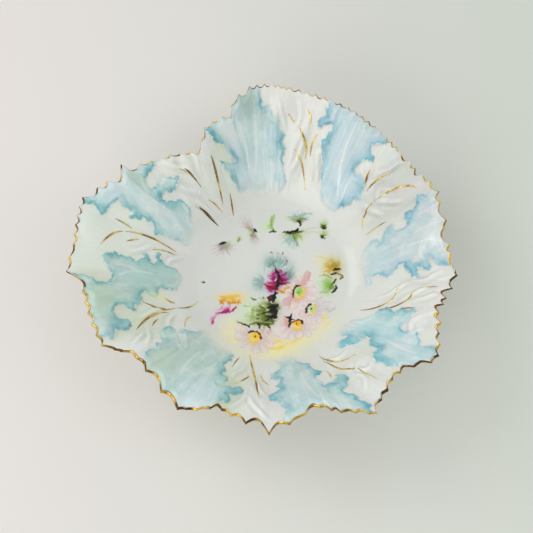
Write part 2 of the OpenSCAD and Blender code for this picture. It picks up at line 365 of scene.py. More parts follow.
# Moulded leaves: the outline from the rim round to the rim again, as angle and
# radius, which is closed outside the rim.
LEAF_LINES = {
    1: [(117, 100), (116, 96.5), (115.5, 93), (114.3, 90), (111.5, 88), (110.7, 86),
        (110.2, 83.3), (108.5, 80.8), (108, 79.8), (112, 80), (116.4, 82.5),
        (115.2, 79.5), (112.2, 76), (112.4, 72.5), (112.6, 69.5), (111.5, 66.8),
        (109.5, 65.4), (106.5, 65.5), (104, 63.3), (100, 62), (95, 60.5), (90, 60),
        (86, 62), (82, 68.5), (83.6, 75), (84.6, 81), (84.2, 87.5), (86, 90.5),
        (84.8, 94), (87, 97), (87.5, 101.5), (89.6, 103), (90.5, 107.5), (92.5, 108.5),
        (93.8, 108), (93.8, 112), (94.6, 119)],
    2: [(141.8, 103.5), (142.5, 102), (144, 101.3), (146, 101.5), (148.5, 102),
        (149.3, 100), (149.5, 96.5), (148, 94), (146, 93), (143, 93.5), (141.5, 91),
        (139, 88), (137, 86.5), (139.5, 85.5), (142, 84.8), (144, 86), (146.5, 88.5),
        (148, 89.8), (149.3, 88.5), (149, 86.5), (147.5, 83.5), (145, 81), (143.3, 78),
        (142.6, 75), (143.2, 72), (145, 70), (147, 68), (146.7, 65), (147.5, 61),
        (150, 58), (153, 57), (158, 61), (160.5, 65), (160.5, 70), (161, 74), (162, 77),
        (163, 80), (164.3, 84.3), (163.5, 85.3), (160.5, 86), (160.2, 89.5), (161, 93.5),
        (162.5, 97), (163.8, 101), (162.5, 100.8), (160.7, 99), (160.3, 101),
        (161.3, 105), (161, 107.5), (159.8, 109.5), (161.5, 112), (164, 114),
        (165.5, 114.7), (167, 115.5), (167.3, 117.5), (166.5, 119.8), (165.8, 121),
        (165.5, 124), (166.5, 127), (165.8, 129.5)],
    3: [(189.7, 134), (189.5, 130), (189.7, 126), (190, 122), (190.3, 119.5),
        (191.5, 118.5), (191.8, 115), (191.2, 111.5), (189.8, 109), (188, 107.5),
        (185.5, 109), (183.5, 112), (182, 113), (180.8, 110.5), (180.2, 107.5),
        (179, 105.5), (179.7, 102), (179.3, 99), (178.7, 96.5), (179.7, 94),
        (179.5, 91.5), (177.5, 88.5), (175.5, 87.5), (176.5, 85), (178.5, 82.5),
        (177.5, 80.5), (175.5, 80), (173, 79.3), (173.5, 77.7), (175.5, 76.7),
        (177, 74.5), (177.3, 70), (178.5, 66), (183, 63), (188, 65), (191, 69),
        (191, 74), (190, 77), (191, 79.5), (193, 80.3), (195.3, 81), (196, 83.5),
        (195, 85.5), (193.7, 87.5), (194, 89.5), (195, 91.2), (197, 92), (199, 93.5),
        (200.5, 95.5), (201.5, 97.5), (202.8, 99), (202.7, 101), (201.5, 102.5),
        (200.3, 104.5), (200.3, 108), (201.3, 111), (203.5, 112.3), (205, 112),
        (206, 109.5), (206.3, 106), (207, 105.3), (209, 106.5), (210.3, 109.5),
        (210.2, 112.5), (209.5, 115), (211, 117.5), (212, 120), (211.8, 123),
        (210.5, 125)],
    4: [(222.5, 113), (222.3, 110), (221.3, 108), (221, 106), (221.7, 103),
        (221.5, 101.5), (220.4, 100), (220.2, 98), (221, 95.5), (221, 94), (219.5, 92.5),
        (217.5, 91.7), (215.5, 91.2), (214.3, 90), (213.3, 87), (212.3, 84),
        (212.3, 81.5), (213.5, 80), (216, 81), (219, 81.5), (221, 82.5), (223, 84.3),
        (226, 85.2), (224, 82), (222, 80), (220, 78), (218.5, 77), (216.2, 77.2),
        (217.5, 74), (219, 70.5), (220.5, 67), (220.3, 63), (221, 60), (224, 58),
        (230, 57.5), (236, 58), (240, 60), (243, 63), (245, 63.8), (246.3, 66),
        (246.8, 69), (246.3, 72), (245, 75), (245.3, 77.5), (246.5, 79.5), (247.5, 82),
        (247.3, 85), (247.5, 86.5), (249.5, 86.2), (250.8, 88.5), (250.6, 92),
        (249.3, 95), (247.5, 96), (249, 98), (251.3, 96), (253, 95.3), (254.5, 96),
        (256.5, 93.3), (258, 95), (258.3, 99), (256, 100.3), (254, 101.5),
        (252.8, 102.5), (254, 103.5), (254.9, 105.5), (254.9, 108), (253.8, 109.5),
        (252.5, 108.5), (251.8, 110), (252, 113)],
    5: [(273.5, 119.5), (273.3, 117), (274, 113.5), (274.7, 110), (274.3, 108),
        (273, 106), (272.7, 104), (272.5, 102.3), (271, 101), (269, 100.5),
        (268.4, 98.5), (269, 96), (270.5, 94), (272.5, 92), (273.7, 90), (272, 88.8),
        (271.8, 87.5), (273, 85.5), (273.3, 83), (272.5, 81.5), (270.5, 80),
        (269.7, 78), (270, 76), (271.5, 74), (273.5, 72.3), (274.5, 70), (273, 67),
        (270, 64), (276, 60.5), (282, 61), (284.3, 64), (284, 67.5), (286.5, 69.3),
        (289, 71), (290.3, 73), (290, 77), (291, 80), (292.5, 82), (293.3, 84),
        (291.5, 84.5), (289.5, 86), (289, 90), (290, 93), (290, 96), (289.5, 98),
        (291, 97), (293, 95.7), (295, 97), (295.5, 95), (297, 92), (298.5, 91.7),
        (300, 94), (300, 97), (299, 101), (298, 103.5), (296.5, 104.5), (295.5, 105),
        (295, 107), (296, 110), (297.5, 112), (297.7, 115), (297.5, 118),
        (298.5, 120.5), (299.3, 123.5), (299, 126), (298.3, 127.5)],
    6: [(325, 128.5), (325.5, 125.5), (324.8, 122), (324.3, 118), (324.5, 115.7),
        (326.5, 114), (328, 111.5), (328.5, 109), (328, 107.5), (327.5, 105),
        (327.5, 102.5), (328.3, 99.5), (329.5, 97.5), (331, 99), (332, 100.5),
        (334, 101), (335.5, 102.5), (336.3, 101), (335.5, 98.5), (335.8, 96),
        (336.5, 93.5), (336, 92), (335, 90.5), (335.3, 88.5), (336.7, 86), (337, 84),
        (336.5, 82), (335, 79), (333, 76.5), (331, 73.5), (329.5, 71), (329, 68),
        (328.5, 66), (325, 63), (320, 62), (316, 62.5), (314, 62.5), (315, 64.5),
        (316.5, 67), (317.2, 69.5), (316, 70.3), (314, 69.5), (312, 68.8), (310, 70),
        (307.7, 72), (309.5, 73.5), (311.5, 74), (313.5, 76), (315, 78.5), (317, 80),
        (319, 79.5), (320.7, 79), (321.7, 82), (321, 84.5), (319.5, 86), (318, 87.5),
        (317.5, 89), (317.7, 91.5), (318.5, 93.5), (318, 95), (316.7, 94.5),
        (315.5, 94.7), (314.5, 94.5), (313, 96), (312.4, 99), (312.3, 101.5),
        (313, 104), (312.9, 107), (313.3, 111), (314, 114), (315, 116.5)],
    7: [(-6.4, 119), (-6.2, 114), (-6, 111.4), (-5.5, 109.4), (-4.5, 108), (-3, 106.6),
        (-2, 105.2), (-3.3, 104.3), (-5.4, 105), (-6.8, 105.2), (-6.8, 103.4),
        (-6.4, 101), (-5.4, 99.5), (-4.7, 98.4), (-7, 97.9), (-9.7, 98), (-9, 96),
        (-7, 94.4), (-5.7, 92.3), (-5, 91), (-3, 90), (-1.8, 88.5), (-1.9, 86.8),
        (-2.6, 85), (-3.8, 83.4), (-5.4, 82), (-5.9, 80.2), (-5.8, 78.5), (-5, 76.8),
        (-4, 75.3), (-3.5, 73), (-3.2, 71), (-4, 69.4), (-7, 68.8), (-10, 68.4),
        (-12, 67.2), (-8, 65.6), (0, 64), (6, 62), (10, 63.5), (12.5, 65.5), (15, 68),
        (16.5, 70.5), (17, 73), (16.3, 75), (15, 76), (13.5, 77.5), (14.5, 79),
        (16, 80.3), (17.5, 82), (18.2, 84), (18.3, 86.5), (14.5, 87.5), (13.7, 90),
        (13.3, 93), (13.5, 95.5), (15, 95), (17, 94.8), (18.5, 96), (19.2, 98),
        (18.5, 100), (17.5, 101), (18.5, 102), (19.5, 104.2), (20.5, 104), (22, 104.5),
        (22, 106.5), (21, 109), (20, 110.5), (20.5, 113), (20.5, 116)],
    8: [(69.5, 114), (70.3, 111.5), (69.7, 109.5), (69.5, 107.5), (71, 106),
        (71.9, 103), (71.5, 100.7), (70.3, 100), (69.5, 101.5), (68, 103.5),
        (66.5, 104.3), (65.3, 103), (66, 101), (66.7, 99), (66.5, 96), (67.5, 94.5),
        (69, 93.5), (68.5, 92), (67, 90.5), (66.3, 87), (65.5, 84.5), (64.3, 82),
        (63.7, 79), (62.5, 75.5), (61, 72), (60, 69.5), (57, 66), (52, 64), (46, 65),
        (45.5, 70), (43.5, 70), (42, 72.5), (41, 74.5), (42, 77), (38, 79.5),
        (38.5, 80.5), (40.5, 81.5), (41, 84), (41.5, 86.3), (44, 87), (46, 86.8),
        (48, 86), (49.7, 87.5), (50, 89), (49, 93), (47.5, 95.5), (46, 96.5),
        (44.3, 98), (44.8, 99.5), (46, 99.7), (47.5, 101), (48.5, 103), (48, 105),
        (46.5, 106.5), (45.3, 109), (45, 111)],
}

# Colours of each leaf: the body towards the rim, towards the well, and the deep
# colour pooled along its edge; then how strong that is, and how wide in mm.
LEAF_TONES = {
    1: ((188, 205, 203), (202, 214, 216), (100, 164, 176), 0.55, 2.2),
    2: ((208, 218, 217), (200, 212, 210), (112, 176, 184), 0.5, 2.2),
    3: ((190, 206, 199), (188, 207, 200), (100, 166, 170), 0.6, 2.2),
    4: ((197, 212, 208), (191, 205, 197), (108, 172, 178), 0.6, 2.2),
    5: ((190, 206, 204), (186, 206, 204), (96, 168, 182), 0.6, 2.2),
    6: ((194, 212, 212), (188, 210, 212), (104, 176, 192), 0.65, 2.0),
    7: ((206, 209, 208), (202, 208, 208), (118, 180, 200), 0.65, 2.0),
    8: ((188, 202, 205), (183, 200, 208), (120, 178, 196), 0.6, 2.0),
}

# Where the pooled colour is deepest: angle, radius, reach in mm, strength.
POOLS = {
    1: [(115, 94, 6, 0.9), (108, 83, 5, 0.9), (116, 82, 3, 0.9), (111.5, 71.5, 4, 0.8),
        (109, 68, 4, 0.7), (86.5, 91, 5, 0.7), (85, 87, 5, 0.6), (94, 110, 5, 0.6)],
    2: [(166, 127, 4, 0.9), (166.5, 119, 4, 0.9), (165, 116, 4, 0.7), (160.5, 105, 4, 0.6),
        (162, 98, 5, 0.9), (164, 84.5, 4, 0.9), (159.5, 88, 4, 0.8), (144.5, 102.5, 5, 0.9),
        (146, 82, 6, 0.8), (149.5, 89, 4, 0.6)],
    3: [(190, 132, 4, 0.8), (191.7, 116, 4, 0.7), (186.5, 107, 4, 0.7), (180, 106, 4, 0.9),
        (177, 87, 4, 0.8), (175, 78.5, 4, 1), (192.5, 81.5, 4, 0.6), (198, 96, 5, 0.7),
        (208, 115, 7, 0.9), (202.5, 100, 4, 0.8), (193.5, 90, 4, 0.7)],
    4: [(222, 107, 4, 0.8), (220.5, 91, 4, 0.7), (213, 84, 5, 0.7), (218, 72, 4, 0.7),
        (222, 68, 4, 0.5), (244.5, 68, 5, 1), (246, 84, 5, 0.8), (257, 97, 5, 1),
        (253, 98, 4, 0.6), (254.5, 107, 4, 0.8)],
    5: [(298.5, 124, 6, 1), (297, 114, 4, 0.8), (295, 108.5, 4, 0.7), (293, 99, 5, 1),
        (299, 97, 4, 0.7), (291.8, 83, 4, 1), (287, 70, 4, 0.6), (275, 88.5, 4, 0.7),
        (275.5, 82, 4, 0.6), (271, 96, 4, 0.8), (272, 78, 4, 0.7), (276, 105, 5, 0.6)],
    6: [(313.8, 107, 4, 0.8), (313, 100, 4, 0.8), (318, 96, 6, 0.8), (318.5, 90, 4, 1),
        (324, 84, 5, 0.7), (323, 78, 4, 0.6), (336, 84, 4, 0.8), (336, 94, 4, 0.8),
        (336, 101, 4, 0.9), (328.5, 98.5, 4, 0.7), (333.5, 87, 5, 0.5), (316, 73, 5, 0.8),
        (312, 71, 4, 0.8), (318, 67, 4, 0.6), (324.5, 125, 5, 0.7)],
    7: [(21, 105.5, 3, 0.9), (19, 104.5, 3, 0.8), (17, 97, 5, 0.9), (17.3, 84, 4, 0.8),
        (13, 78.5, 4, 0.6), (16, 72, 4, 0.5), (13, 92, 3, 0.6), (-2.5, 89, 4, 1),
        (-4.5, 92.5, 4, 1), (-5, 112.5, 5, 1), (-4.8, 78, 4, 1), (-6, 96, 4, 0.8),
        (-1, 103, 5, 0.5), (-6.3, 103, 3, 0.5)],
    8: [(71.3, 102, 4, 0.9), (69.5, 109, 4, 0.9), (66.5, 95.5, 5, 0.8), (63.5, 93.5, 4, 0.8),
        (50.7, 90, 5, 0.9), (44.5, 98.5, 5, 0.9), (44.5, 71.5, 4, 1), (48, 108, 5, 0.6),
        (42, 83, 4, 0.7)],
}

# Tints inside the leaves: leaf, colour, strength, angle, radius, reach across
# and along the radius in mm.
LEAF_WASHES = [
    (1, (166, 186, 176), 0.8, 99, 112, 7, 9),
    (1, (212, 217, 214), 0.8, 109, 95, 8, 5),
    (1, (206, 215, 213), 0.6, 98, 75, 4, 12),
    (2, (172, 191, 178), 0.8, 150, 106, 4, 8),
    (2, (196, 210, 218), 0.8, 158, 115, 8, 8),
    (3, (214, 217, 208), 0.9, 189, 113, 4, 7),
    (3, (180, 199, 176), 0.8, 198, 115, 10, 10),
    (4, (182, 200, 184), 0.9, 227, 104, 9, 14),
    (4, (208, 218, 224), 0.7, 245, 108, 10, 12),
    (5, (196, 209, 210), 0.6, 282, 98, 7, 12),
    (6, (206, 218, 220), 0.6, 321, 108, 7, 8),
    (7, (213, 219, 222), 0.7, 3, 106, 8, 6),
    (8, (200, 209, 211), 0.6, 57, 92, 7, 14),
    (8, (196, 207, 206), 0.7, 53, 103, 4, 7),
    (8, (190, 213, 222), 0.6, 63, 86, 4, 14),
]

# Painted highlights in the leaves, pale streaks along the raised veins, as angle, radius and width
# in mm.
LEAF_HIGHLIGHTS = [
    [(58, 110, 0.8), (57, 90, 1.4), (52, 75, 0.6)], [(56, 85, 0.6), (53, 78, 1.2), (50, 72, 0.5)],
    [(49, 86, 0.6), (48.5, 78, 1.6), (47, 70, 0.6)],
    [(97, 104, 0.8), (97, 90, 1.6), (99, 74, 1.0)],
    [(103, 98, 0.6), (102, 84, 1.2), (103, 72, 0.6)],
    [(321, 118, 0.6), (321, 108, 1.2), (322, 96, 0.6)],
    [(286, 106, 0.6), (284, 94, 1.2), (283, 80, 0.6)],
    [(2, 112, 0.6), (4, 104, 1.4), (5, 92, 0.6)], [(-1, 113, 0.3), (3, 111, 0.9), (5, 106, 0.3)],
    [(-3, 101, 0.3), (1, 98.5, 0.9), (4, 100, 0.3)],
    [(154, 100, 0.5), (152, 90, 1.2), (150, 78, 0.4)],
    [(188, 104, 0.4), (185, 94, 1.0), (184, 82, 0.4)],
    [(235, 104, 0.5), (233, 92, 1.3), (232, 78, 0.5)],
    [(239, 98, 0.4), (240, 88, 1.0), (242, 78, 0.4)],
]


THIN_GLAZE = (222, 228, 228)
# the colour of the painted highlights
HIGHLIGHT_WHITE = (226, 230, 230)


def leaf_field(number):
    """Where a leaf is in the painting, and how deep inside it each cell is."""
    points = list(LEAF_LINES[number])
    last, first = points[-1][0], points[0][0]
    points += [(last, 142), ((last + first) / 2, 146), (first, 142)]
    line = spline(points, 5, closed=True)
    line = np.stack(polar(line[:, 0], line[:, 1]), -1)
    line = np.concatenate([line, line[:1]])
    where = window(line, 3)
    d, _ = measure(line, where)
    return where, np.where(within(line, where), d, -d)


def leaf_fade(where):
    """The leaves melt into the white well."""
    return smooth(RAD[where] + 7 * wobble[where] + 5 * streak[where], 58, 73)


def near_leaf(where, angle, radius, across, along):
    """A soft spot round a place on the wall, with its reach across and up the wall."""
    side = np.radians(turn(ANG[where] - angle)) * radius
    return np.exp(-0.7 * ((side / across) ** 2 + ((RAD[where] - radius) / along) ** 2))


def paint_leaf(number):
    """One leaf: mottled body, inner tints, deeper broken edge and pools at its lobes."""
    outer, inner, deep, strength, width = LEAF_TONES[number]
    where, inside = leaf_field(number)
    rough = smooth(cloud(X[where] / 10, Y[where] / 10, 50 + number), 0.36, 0.6)
    body = np.clip(0.5 + inside / (0.5 + 2.4 * (1 - rough)), 0, 1) * leaf_fade(where)
    mix = smooth(RAD[where] + 10 * wobble[where], 78, 112)[..., None]
    colour = np.asarray(outer) * mix + np.asarray(inner) * (1 - mix)
    mottle = cloud(X[where] / 5.5, Y[where] / 5.5, 70 + number, 4)
    brush = cloud(ANG[where] * 0.55, RAD[where] / 13, 90 + number, 4)
    broad = cloud(X[where] / 16, Y[where] / 16, 170 + number, 2)
    patch = smooth(0.4 * mottle + 0.25 * brush + 0.35 * broad, 0.36, 0.62)[..., None]
    light = np.asarray(THIN_GLAZE) * 0.25 + colour * 0.75
    rich = colour * 0.8 + np.asarray(deep) * 0.2
    shade = 1 + 0.04 * streak[where] + 0.05 * thread[where] + 0.05 * fine[where]
    paint_body = (light + (rich - light) * patch) * shade[..., None]
    paint[where] = paint[where] * (1 - body[..., None]) + paint_body * body[..., None]
    for leaf, tint, alpha, angle, radius, across, along in LEAF_WASHES:
        if leaf == number:
            spot = near_leaf(where, angle, radius, across, along)
            cover(where, tint, alpha * spot * body * (1 + 0.8 * streak[where]))
    depth = np.clip(inside, 0, None)
    clear_of_well = smooth(RAD[where], 60, 78)
    edge = np.exp(-((depth / width) ** 1.3)) * strength * rough
    edge *= clear_of_well
    cover(where, deep, edge * body * 0.85)
    drawn = smooth(cloud(X[where] / 4, Y[where] / 4, 130 + number), 0.42, 0.6)
    drawn *= clear_of_well
    cover(where, np.asarray(deep) * 0.86, 0.6 * bell(depth - 0.4, 0.6) * drawn * rough * body)
    for angle, radius, reach, amount in POOLS[number]:
        spot = near_leaf(where, angle, radius, reach, reach)
        pool = np.exp(-((depth / (0.6 * reach)) ** 1.6)) * (1 + 0.5 * fine[where])
        cover(where, np.asarray(deep) * 0.93, 1.15 * amount * spot * pool * body)


def paint_highlights():
    """Painted highlights: the pale streaks where the veins stand up and catch the light."""
    for points in LEAF_HIGHLIGHTS:
        xyw = [polar(a, r) + (w,) for a, r, w in points]
        stroke(HIGHLIGHT_WHITE, 0.6, 1.4, xyw)


paint_panels()
for leaf_number in LEAF_LINES:
    paint_leaf(leaf_number)


# ------------------------------------------------------------- the bouquet, mm

INK = (6, 5, 4)
OLIVE = (84, 94, 28)
MOSS = (150, 166, 92)
LEAF_GREEN = (158, 190, 118)
PALE_GREEN = (204, 220, 190)
VEIL = (192, 207, 200)
TEAL = (150, 176, 168)
MAROON = (60, 4, 24)
MAGENTA = (156, 22, 96)
MAUVE = (196, 128, 170)
CRIMSON = (160, 22, 56)
PINK = (226, 214, 210)
ROSE = (210, 184, 182)
SALMON = (214, 158, 150)
LILAC = (222, 214, 214)
GREY = (190, 190, 184)
AMBER = (212, 158, 52)
BUTTER = (236, 226, 172)
RING_YELLOW = (236, 198, 70)
STAMEN = (62, 18, 22)
GHOST_OLIVE = (158, 154, 128)
GHOST_MAUVE = (180, 166, 168)

# Washes under the bouquet: colour, strength, centre, half widths, lean.
BOUQUET_WASHES = [
    ((222, 222, 166), 0.7, -76, -21.6, 6, 2.4, -10), (BUTTER, 0.55, -18, -48, 14, 8, -25),
    (BUTTER, 0.7, 0, -54, 16, 6, 0), (BUTTER, 0.6, 18, -47, 16, 6, 22),
    (BUTTER, 0.45, 34, -36, 9, 5, 38), (BUTTER, 0.5, -26, -38, 6, 8, -30),
    ((236, 216, 136), 0.45, 4, -51, 7, 3.5, 10), ((236, 216, 136), 0.3, 14, -47.5, 6, 2, 20),
    (VEIL, 0.85, 3, 9, 8, 9, 0), (VEIL, 0.7, -9, -5, 6, 8, -30), (VEIL, 0.6, -3, -11, 7, 4, 0),
    (VEIL, 0.6, 12, 3, 4, 7, 0), (TEAL, 0.35, -1, 10, 3.5, 5, 20), (TEAL, 0.35, 10, 0, 5, 4, 20),
    (PALE_GREEN, 0.75, -15, -24, 7, 6, -20), (PALE_GREEN, 0.6, -19, -31, 6, 3, -20),
    (MAUVE, 0.55, 5, -1, 5, 5, 0), (MAGENTA, 0.4, 0, -7.5, 4, 3, 0),
    (MAGENTA, 0.35, 6, -1, 4, 4.5, 20), ((150, 60, 120), 0.5, 3.4, 3, 2.6, 3, 0),
    ((128, 150, 146), 0.5, 12, 2, 2.2, 5, -20), ((128, 150, 146), 0.4, -0.5, 10, 2, 4.5, 20),
    ((156, 176, 170), 0.5, 6, 11, 5, 4, 0), (MOSS, 0.7, -7, -28, 6, 5, 0),
    (OLIVE, 0.6, -2, -27, 5, 4.5, 10), (OLIVE, 0.5, 2, -22, 3, 4, -20),
    (MOSS, 0.6, -7, -34.5, 8, 1.8, -5), (PINK, 0.9, 13, -17, 6, 6, 0),
    (PINK, 0.9, 24, -12, 6, 9, 0), (PINK, 0.9, 22, -26, 8, 7, 0), (PINK, 0.85, 8, -38, 6, 6, 0),
    (PINK, 0.8, 26, -33, 8, 4, 20), (ROSE, 0.5, 12, -21, 4, 4, 40),
    (ROSE, 0.5, 9, -34, 2.5, 5, 10), (LILAC, 0.8, 37, -24, 5, 5, 0),
    (PALE_GREEN, 0.9, 36.5, -5, 4.5, 6, -15), (LEAF_GREEN, 0.8, 39.5, -6, 3.4, 5, -20),
    ((226, 218, 182), 0.8, 37, 9, 6, 4.5, -35), ((198, 180, 100), 0.9, 43, 8, 4.5, 5.5, -20),
    ((150, 138, 62), 0.6, 44.6, 6, 2.6, 2.6, -20),
    ((236, 206, 132), 0.9, -29, -15.5, 7.5, 2.6, -2), ((236, 206, 132), 0.5, -24, -15, 5, 3.4, 0),
    ((226, 178, 196), 0.6, -33, -24.5, 6, 2.6, 18),
    ((228, 190, 200), 0.5, -40.5, -32, 1.8, 4, -15), (PALE_GREEN, 0.8, -4.5, 38, 3, 3.4, 0),
    (PALE_GREEN, 0.5, 20, 30, 3.5, 5, 0), ((206, 218, 210), 0.9, 12.5, 28, 4, 5, -35),
    (MOSS, 0.5, 15.5, 32.5, 6, 2, 10), (PALE_GREEN, 0.6, 17.5, 45.5, 6, 2, 8),
    (LEAF_GREEN, 0.8, 37, 40.3, 1.8, 2.2, 0), (LEAF_GREEN, 0.7, 37.5, 33.6, 2, 2.2, 0),
    (LEAF_GREEN, 0.8, -31.2, 25.4, 2, 1.4, 10), (LEAF_GREEN, 0.8, -14.2, 33.8, 1.6, 2.2, -10),
    (MOSS, 0.8, -23.4, 28.4, 0.9, 1.8, -20), ((214, 208, 206), 0.5, -18, 42, 4, 5, 30),
    ((218, 214, 206), 0.5, -36, 19, 6, 4, 0), (GREY, 0.25, -12, 27, 3, 4, 0),
]

# Petals: colour of the fill and of the outline, base, heading, length, width.
PETALS = [
    (PINK, ROSE, -11.7, -43.9, 152, 15, 5), (LILAC, ROSE, -11.7, -43.9, 178, 14, 5.5),
    (LILAC, GREY, -11.7, -43.9, 212, 13, 5.5), (PINK, LILAC, -11.7, -43.9, 240, 13, 5),
    (LILAC, ROSE, -11.7, -43.9, 272, 13, 5), (LILAC, ROSE, -11.7, -43.9, 302, 14, 5),
    (PINK, ROSE, -11.7, -43.9, 328, 15, 5.5), (PINK, ROSE, -11.7, -43.9, 352, 17, 5.5),
    (PINK, ROSE, -11.7, -43.9, 24, 12, 5), (LILAC, ROSE, -11.7, -43.9, 60, 9, 4.5),
    (LILAC, GREY, -11.7, -43.9, 118, 9, 5.5), (PINK, ROSE, 17, -34.7, 200, 12, 5),
    (PINK, ROSE, 17, -34.7, 226, 14, 5.5), (LILAC, ROSE, 17, -34.7, 252, 12, 5.5),
    (PINK, ROSE, 17, -34.7, 282, 11, 5.5), (LILAC, ROSE, 17, -34.7, 318, 13, 5),
    (PINK, ROSE, 17, -34.7, 350, 14, 5), (PINK, SALMON, 17, -34.7, 170, 9, 4),
    (PINK, SALMON, 18.5, -11.4, 92, 12.5, 4.4), (ROSE, SALMON, 18.5, -11.4, 64, 17, 4.2),
    (PINK, ROSE, 18.5, -11.4, 36, 13, 5), (PINK, ROSE, 18.5, -11.4, 8, 13, 5.5),
    (PINK, ROSE, 18.5, -11.4, 336, 13, 5.5), (PINK, ROSE, 18.5, -11.4, 300, 12, 5),
    (PINK, SALMON, 18.5, -11.4, 250, 13, 5), (ROSE, SALMON, 18.5, -11.4, 220, 14, 5),
    (PINK, ROSE, 18.5, -11.4, 194, 9, 4), (LILAC, GREY, 26.9, -23.8, 40, 12, 5),
    (LILAC, GREY, 26.9, -23.8, 8, 17, 7), (LILAC, GREY, 26.9, -23.8, 338, 14, 6),
    (LILAC, ROSE, 26.9, -23.8, 306, 12, 5), (PINK, ROSE, 26.9, -23.8, 262, 9, 5),
    (PINK, ROSE, 26.9, -23.8, 214, 9, 4.5),
]

